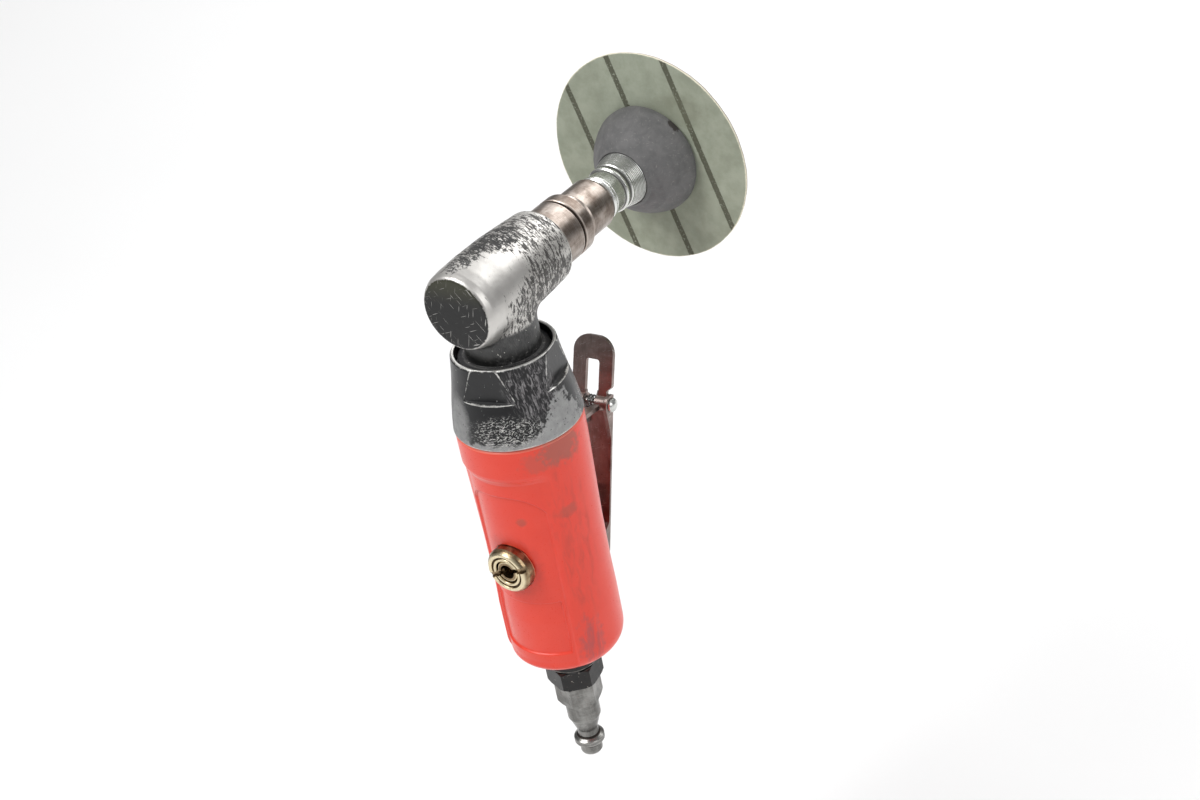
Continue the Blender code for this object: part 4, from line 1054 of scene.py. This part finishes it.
def black_oxide(name):
    f = Finish(name)
    edge = f.wear_and_highlight()
    ragged = f.noise(650, 4, 0.6)
    chips = f.span(f.noise(1000, 3, 0.65, 0.6, f.stretch(1.1, 1.1, 0.8)), 0.66, 0.7)
    rim = f.span(f.add(edge, f.times(ragged, 0.6)), 0.75, 1.15)
    colour = f.blend(f.noise(300, 4), tone(26, 26, 27), tone(52, 51, 50))
    metal = f.most(rim, f.times(chips, 0.8))
    colour = f.blend(metal, colour, tone(176, 170, 162))
    f.set(Base_Color=colour, Metallic=f.mix(metal, 0.5, 0.95),
          Roughness=f.add(0.26, f.times(ragged, 0.22)),
          Normal=f.bump(f.add(f.times(ragged, 0.8), f.times(chips, -0.6)), 0.035))
    return f.material


def brass(name):
    f = Finish(name, Metallic=1)
    edge = f.wear_and_highlight()
    rings = f.noise(1000, 3, 0.65, 0, f.stretch(0.25, 0.25, 0.25))
    slow = f.noise(420, 4, 0.6, 0.4)
    colour = f.blend(f.span(slow, 0.3, 0.7), tone(168, 146, 114), tone(108, 88, 66))
    dull = f.span(f.noise(900, 3, 0.6), 0.58, 0.7)
    colour = f.blend(f.times(dull, 0.6), colour, tone(104, 82, 56))
    hollow = f.span(edge, -0.2, -0.8)
    colour = f.coats(
        colour,
        (f.times(hollow, 0.85), 66, 50, 34),
        (f.times(f.span(edge, 0.35, 0.9), 0.75), 250, 236, 200))
    f.set(Base_Color=colour, Roughness=f.add(0.22, f.times(slow, 0.14), f.times(dull, 0.16)),
          Normal=f.bump(f.add(rings, slow), 0.02))
    return f.material


def rubber_pad(name):
    f = Finish(name)
    rings = f.noise(1000, 2, 0.5, 0, f.stretch(0.05, 1.6, 0.05))
    dust = f.noise(240, 5, 0.65, 0.5)
    pores = f.span(f.cells(2600), 0.1, 0.34)
    colour = f.blend(f.span(dust, 0.3, 0.75), tone(98, 98, 98), tone(116, 115, 115))
    scuff = f.times(f.scratches((15, 80, 140), 2, 0.2, 0.7), 0.5)
    colour = f.blend(scuff, colour, tone(160, 156, 152))
    chip = f.zone((13.5, 91.5, 14), (2.6, 1.6, 2.2), 0.8, 900, 0.15)
    colour = f.blend(f.times(chip, 0.8), colour, tone(44, 36, 32))
    f.set(Base_Color=colour, Roughness=f.add(0.52, f.times(dust, 0.2)),
          Normal=f.bump(f.add(f.times(pores, -0.4), f.times(dust, 0.8), f.times(rings, 0.4)), 0.045),
          Specular_IOR_Level=0.35)
    return f.material


def disc_stripes(f):
    """Plain printed stripes across the backing cloth."""
    x, _, z = f.axes()
    slant, pitch, shift = math.radians(17), 21.4, -0.23
    across = f.add(f.times(x, math.cos(slant) / MM), f.times(z, math.sin(slant) / MM), shift)
    off = f.math("PINGPONG", across, 0.5 * pitch)
    return f.span(f.add(off, f.times(f.noise(2400, 3), 0.5)), 1.5, 1.2)


def abrasive_cloth(name):
    f = Finish(name, Roughness=0.82)
    x, _, z = f.axes()
    thread_pitch = 0.42 * MM
    thread = 2.0 * math.pi / thread_pitch
    warp = f.math("SINE", f.times(x, thread))
    weft = f.math("SINE", f.times(z, thread))
    weave = f.times(f.add(f.times(warp, weft), 1), 0.5)
    dust = f.noise(150, 5, 0.65)
    colour = f.blend(f.span(dust, 0.3, 0.7), tone(152, 158, 140), tone(172, 178, 160))
    colour = f.blend(f.times(weave, 0.16), colour, tone(120, 126, 106))
    ink = f.times(disc_stripes(f), f.span(f.noise(1600, 3, 0.6), 0.28, 0.42))
    colour = f.blend(f.times(ink, 0.88), colour, tone(76, 76, 60))
    smear = f.times(f.zone((14, 93, 18.5), (11, 4, 6), 0.6, 240), 0.35)
    colour = f.blend(smear, colour, tone(118, 120, 100))
    far = f.add(f.off_spindle(), f.times(f.noise(900), 0.5))
    rim = f.span(far, DISC_RADIUS - 0.28, DISC_RADIUS + 0.05)
    colour = f.blend(rim, colour, tone(236, 232, 210))
    f.set(Base_Color=colour, Normal=f.bump(f.add(weave, f.times(dust, 1.5)), 0.03))
    return f.material


def abrasive_grain(name):
    f = Finish(name)
    grit = f.cells(3300)
    crumbs = f.noise(5200, 3, 0.6)
    slow = f.noise(130, 4, 0.6)
    rough = f.span(f.add(grit, f.times(crumbs, 0.4)), 0.25, 0.8)
    colour = f.blend(rough, tone(150, 88, 62), tone(96, 50, 36))
    loaded = f.span(f.add(f.off_spindle(), f.times(slow, 16)), 24, 40)
    loaded = f.times(loaded, f.span(slow, 0.35, 0.6))
    colour = f.blend(f.times(loaded, 0.5), colour, tone(176, 160, 146))
    sparkle = f.span(f.noise(4200, 2), 0.68, 0.72)
    f.set(Base_Color=colour, Roughness=f.mix(sparkle, 0.85, 0.35),
          Normal=f.bump(f.add(f.less(1, grit), f.times(crumbs, 0.6)), 0.16))
    return f.material


def moulded(name, light, dark, roughness):
    """Plain moulded or machined non-metal for the small parts inside."""
    f = Finish(name)
    slow = f.noise(300, 4, 0.6)
    grain = f.noise(2600, 3, 0.6)
    f.set(Base_Color=f.blend(f.span(slow, 0.3, 0.7), light, dark),
          Roughness=f.add(roughness, f.times(grain, 0.15)),
          Normal=f.bump(f.add(grain, slow), 0.03))
    return f.material


OWN_FINISHES = (worn_alloy, black_paint, red_plastic, lever_steel, black_oxide, brass, rubber_pad,
                abrasive_cloth, abrasive_grain)
TURNED_METALS = {
    "tool_steel": dict(light=tone(184, 174, 166), dark=tone(112, 98, 88), roughness=0.24, patch=180),
    "zinc_steel": dict(light=tone(226, 227, 224), dark=tone(188, 190, 186), roughness=0.16,
                       groove=tone(96, 96, 92)),
    "plug_zinc": dict(light=tone(150, 149, 146), dark=tone(92, 91, 88), roughness=0.2, axis="Z"),
    "bearing_steel": dict(light=tone(200, 200, 202), dark=tone(150, 150, 154), roughness=0.2),
    "spring_steel": dict(light=tone(140, 140, 142), dark=tone(92, 90, 88), roughness=0.3, axis="X"),
}
MOULDED = {
    "nylon": dict(light=tone(216, 212, 200), dark=tone(196, 190, 176), roughness=0.42),
    "nitrile": dict(light=tone(24, 24, 24), dark=tone(40, 40, 40), roughness=0.5),
    "vane_composite": dict(light=tone(96, 66, 44), dark=tone(72, 46, 30), roughness=0.5),
}
MAKERS = {maker.__name__: (maker, {}) for maker in OWN_FINISHES}
MAKERS.update({name: (turned_metal, values) for name, values in TURNED_METALS.items()})
MAKERS.update({name: (moulded, values) for name, values in MOULDED.items()})
MADE = {}


def finish_of(name):
    if name not in MADE:
        maker, values = MAKERS[name]
        MADE[name] = maker(name + "_finish", **values)
    return MADE[name]


def paint(obj, name):
    obj.data.materials.clear()
    obj.data.materials.append(finish_of(name))


for piece, finish_name in PIECES:
    paint(piece, finish_name)
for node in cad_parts.values():
    paint(node, node.data.materials[0].name)


# Floor, light and camera

FLOOR_HEIGHT = -0.30
FLOOR_HALF = 6.0
TARGET = (0, -0.06, -0.05)
SWEEP_TARGET = (-1, 2, FLOOR_HEIGHT)
CAMERA_AT = (0.3689, -0.5050, 0.2818)
CAMERA_RIGHT = (0.8232, 0.5433, -0.1648)
CAMERA_AHEAD = (-0.5421, 0.6658, -0.5127)
CAMERA_LENS = 60.0


def build_floor():
    mesh = bpy.data.meshes.new("floor")
    signs = ((-1, -1), (1, -1), (1, 1), (-1, 1))
    corners = [(x * FLOOR_HALF, y * FLOOR_HALF, FLOOR_HEIGHT) for x, y in signs]
    mesh.from_pydata(corners, [], [(0, 1, 2, 3)])
    floor = bpy.data.objects.new("floor", mesh)
    bpy.context.scene.collection.objects.link(floor)
    f = Finish("floor_finish", Roughness=0.9)
    colour = f.blend(f.noise(3, 2), tone(250, 250, 250), tone(246, 246, 246))
    f.set(Base_Color=colour, Specular_IOR_Level=0.1)
    mesh.materials.append(f.material)


def area_light(name, place, aim, size, power):
    data = bpy.data.lights.new(name, "AREA")
    data.shape = "RECTANGLE"
    data.size, data.size_y = size
    data.energy = power
    lamp = bpy.data.objects.new(name, data)
    bpy.context.scene.collection.objects.link(lamp)
    lamp.location = place
    lamp.rotation_mode = "QUATERNION"
    lamp.rotation_quaternion = (Vector(aim) - Vector(place)).to_track_quat("-Z", "Y")


def build_world():
    """Even pale light, darker towards the horizon and below it."""
    world = bpy.data.worlds.new("studio")
    bpy.context.scene.world = world
    world.use_nodes = True
    tree = world.node_tree
    back = tree.nodes["Background"]
    where = tree.nodes.new("ShaderNodeTexCoord").outputs["Generated"]
    split = tree.nodes.new("ShaderNodeSeparateXYZ")
    tree.links.new(where, split.inputs[0])
    ramp = tree.nodes.new("ShaderNodeValToRGB")
    tree.links.new(split.outputs["Z"], ramp.inputs[0])
    low, high = ramp.color_ramp.elements
    low.position, low.color = 0.0, (0.34, 0.34, 0.35, 1)
    high.position, high.color = 0.75, (1, 1, 1, 1)
    tree.links.new(ramp.outputs[0], back.inputs["Color"])
    back.inputs["Strength"].default_value = 0.42


def build_camera():
    data = bpy.data.cameras.new("camera")
    data.lens = CAMERA_LENS
    data.sensor_width = 36.0
    data.clip_start, data.clip_end = 0.01, 50.0
    camera = bpy.data.objects.new("camera", data)
    bpy.context.scene.collection.objects.link(camera)
    ahead = Vector(CAMERA_AHEAD).normalized()
    right = Vector(CAMERA_RIGHT).normalized()
    up = right.cross(ahead).normalized()
    right = ahead.cross(up)
    turn = Matrix((right, up, -ahead)).transposed()
    camera.matrix_world = Matrix.LocRotScale(Vector(CAMERA_AT), turn, None)
    bpy.context.scene.camera = camera


build_floor()
build_world()
area_light("key", (-0.45, -0.75, 1.1), TARGET, (0.7, 0.7), 12.5)
area_light("fill", (0.95, -0.35, 0.45), TARGET, (0.5, 0.7), 3)
area_light("back", (0.2, 0.95, 0.8), TARGET, (1, 0.6), 6)
area_light("sweep", (-0.9, 1.6, 1.2), SWEEP_TARGET, (1.8, 1.8), 20)
build_camera()
bpy.context.scene.view_settings.view_transform = "Standard"
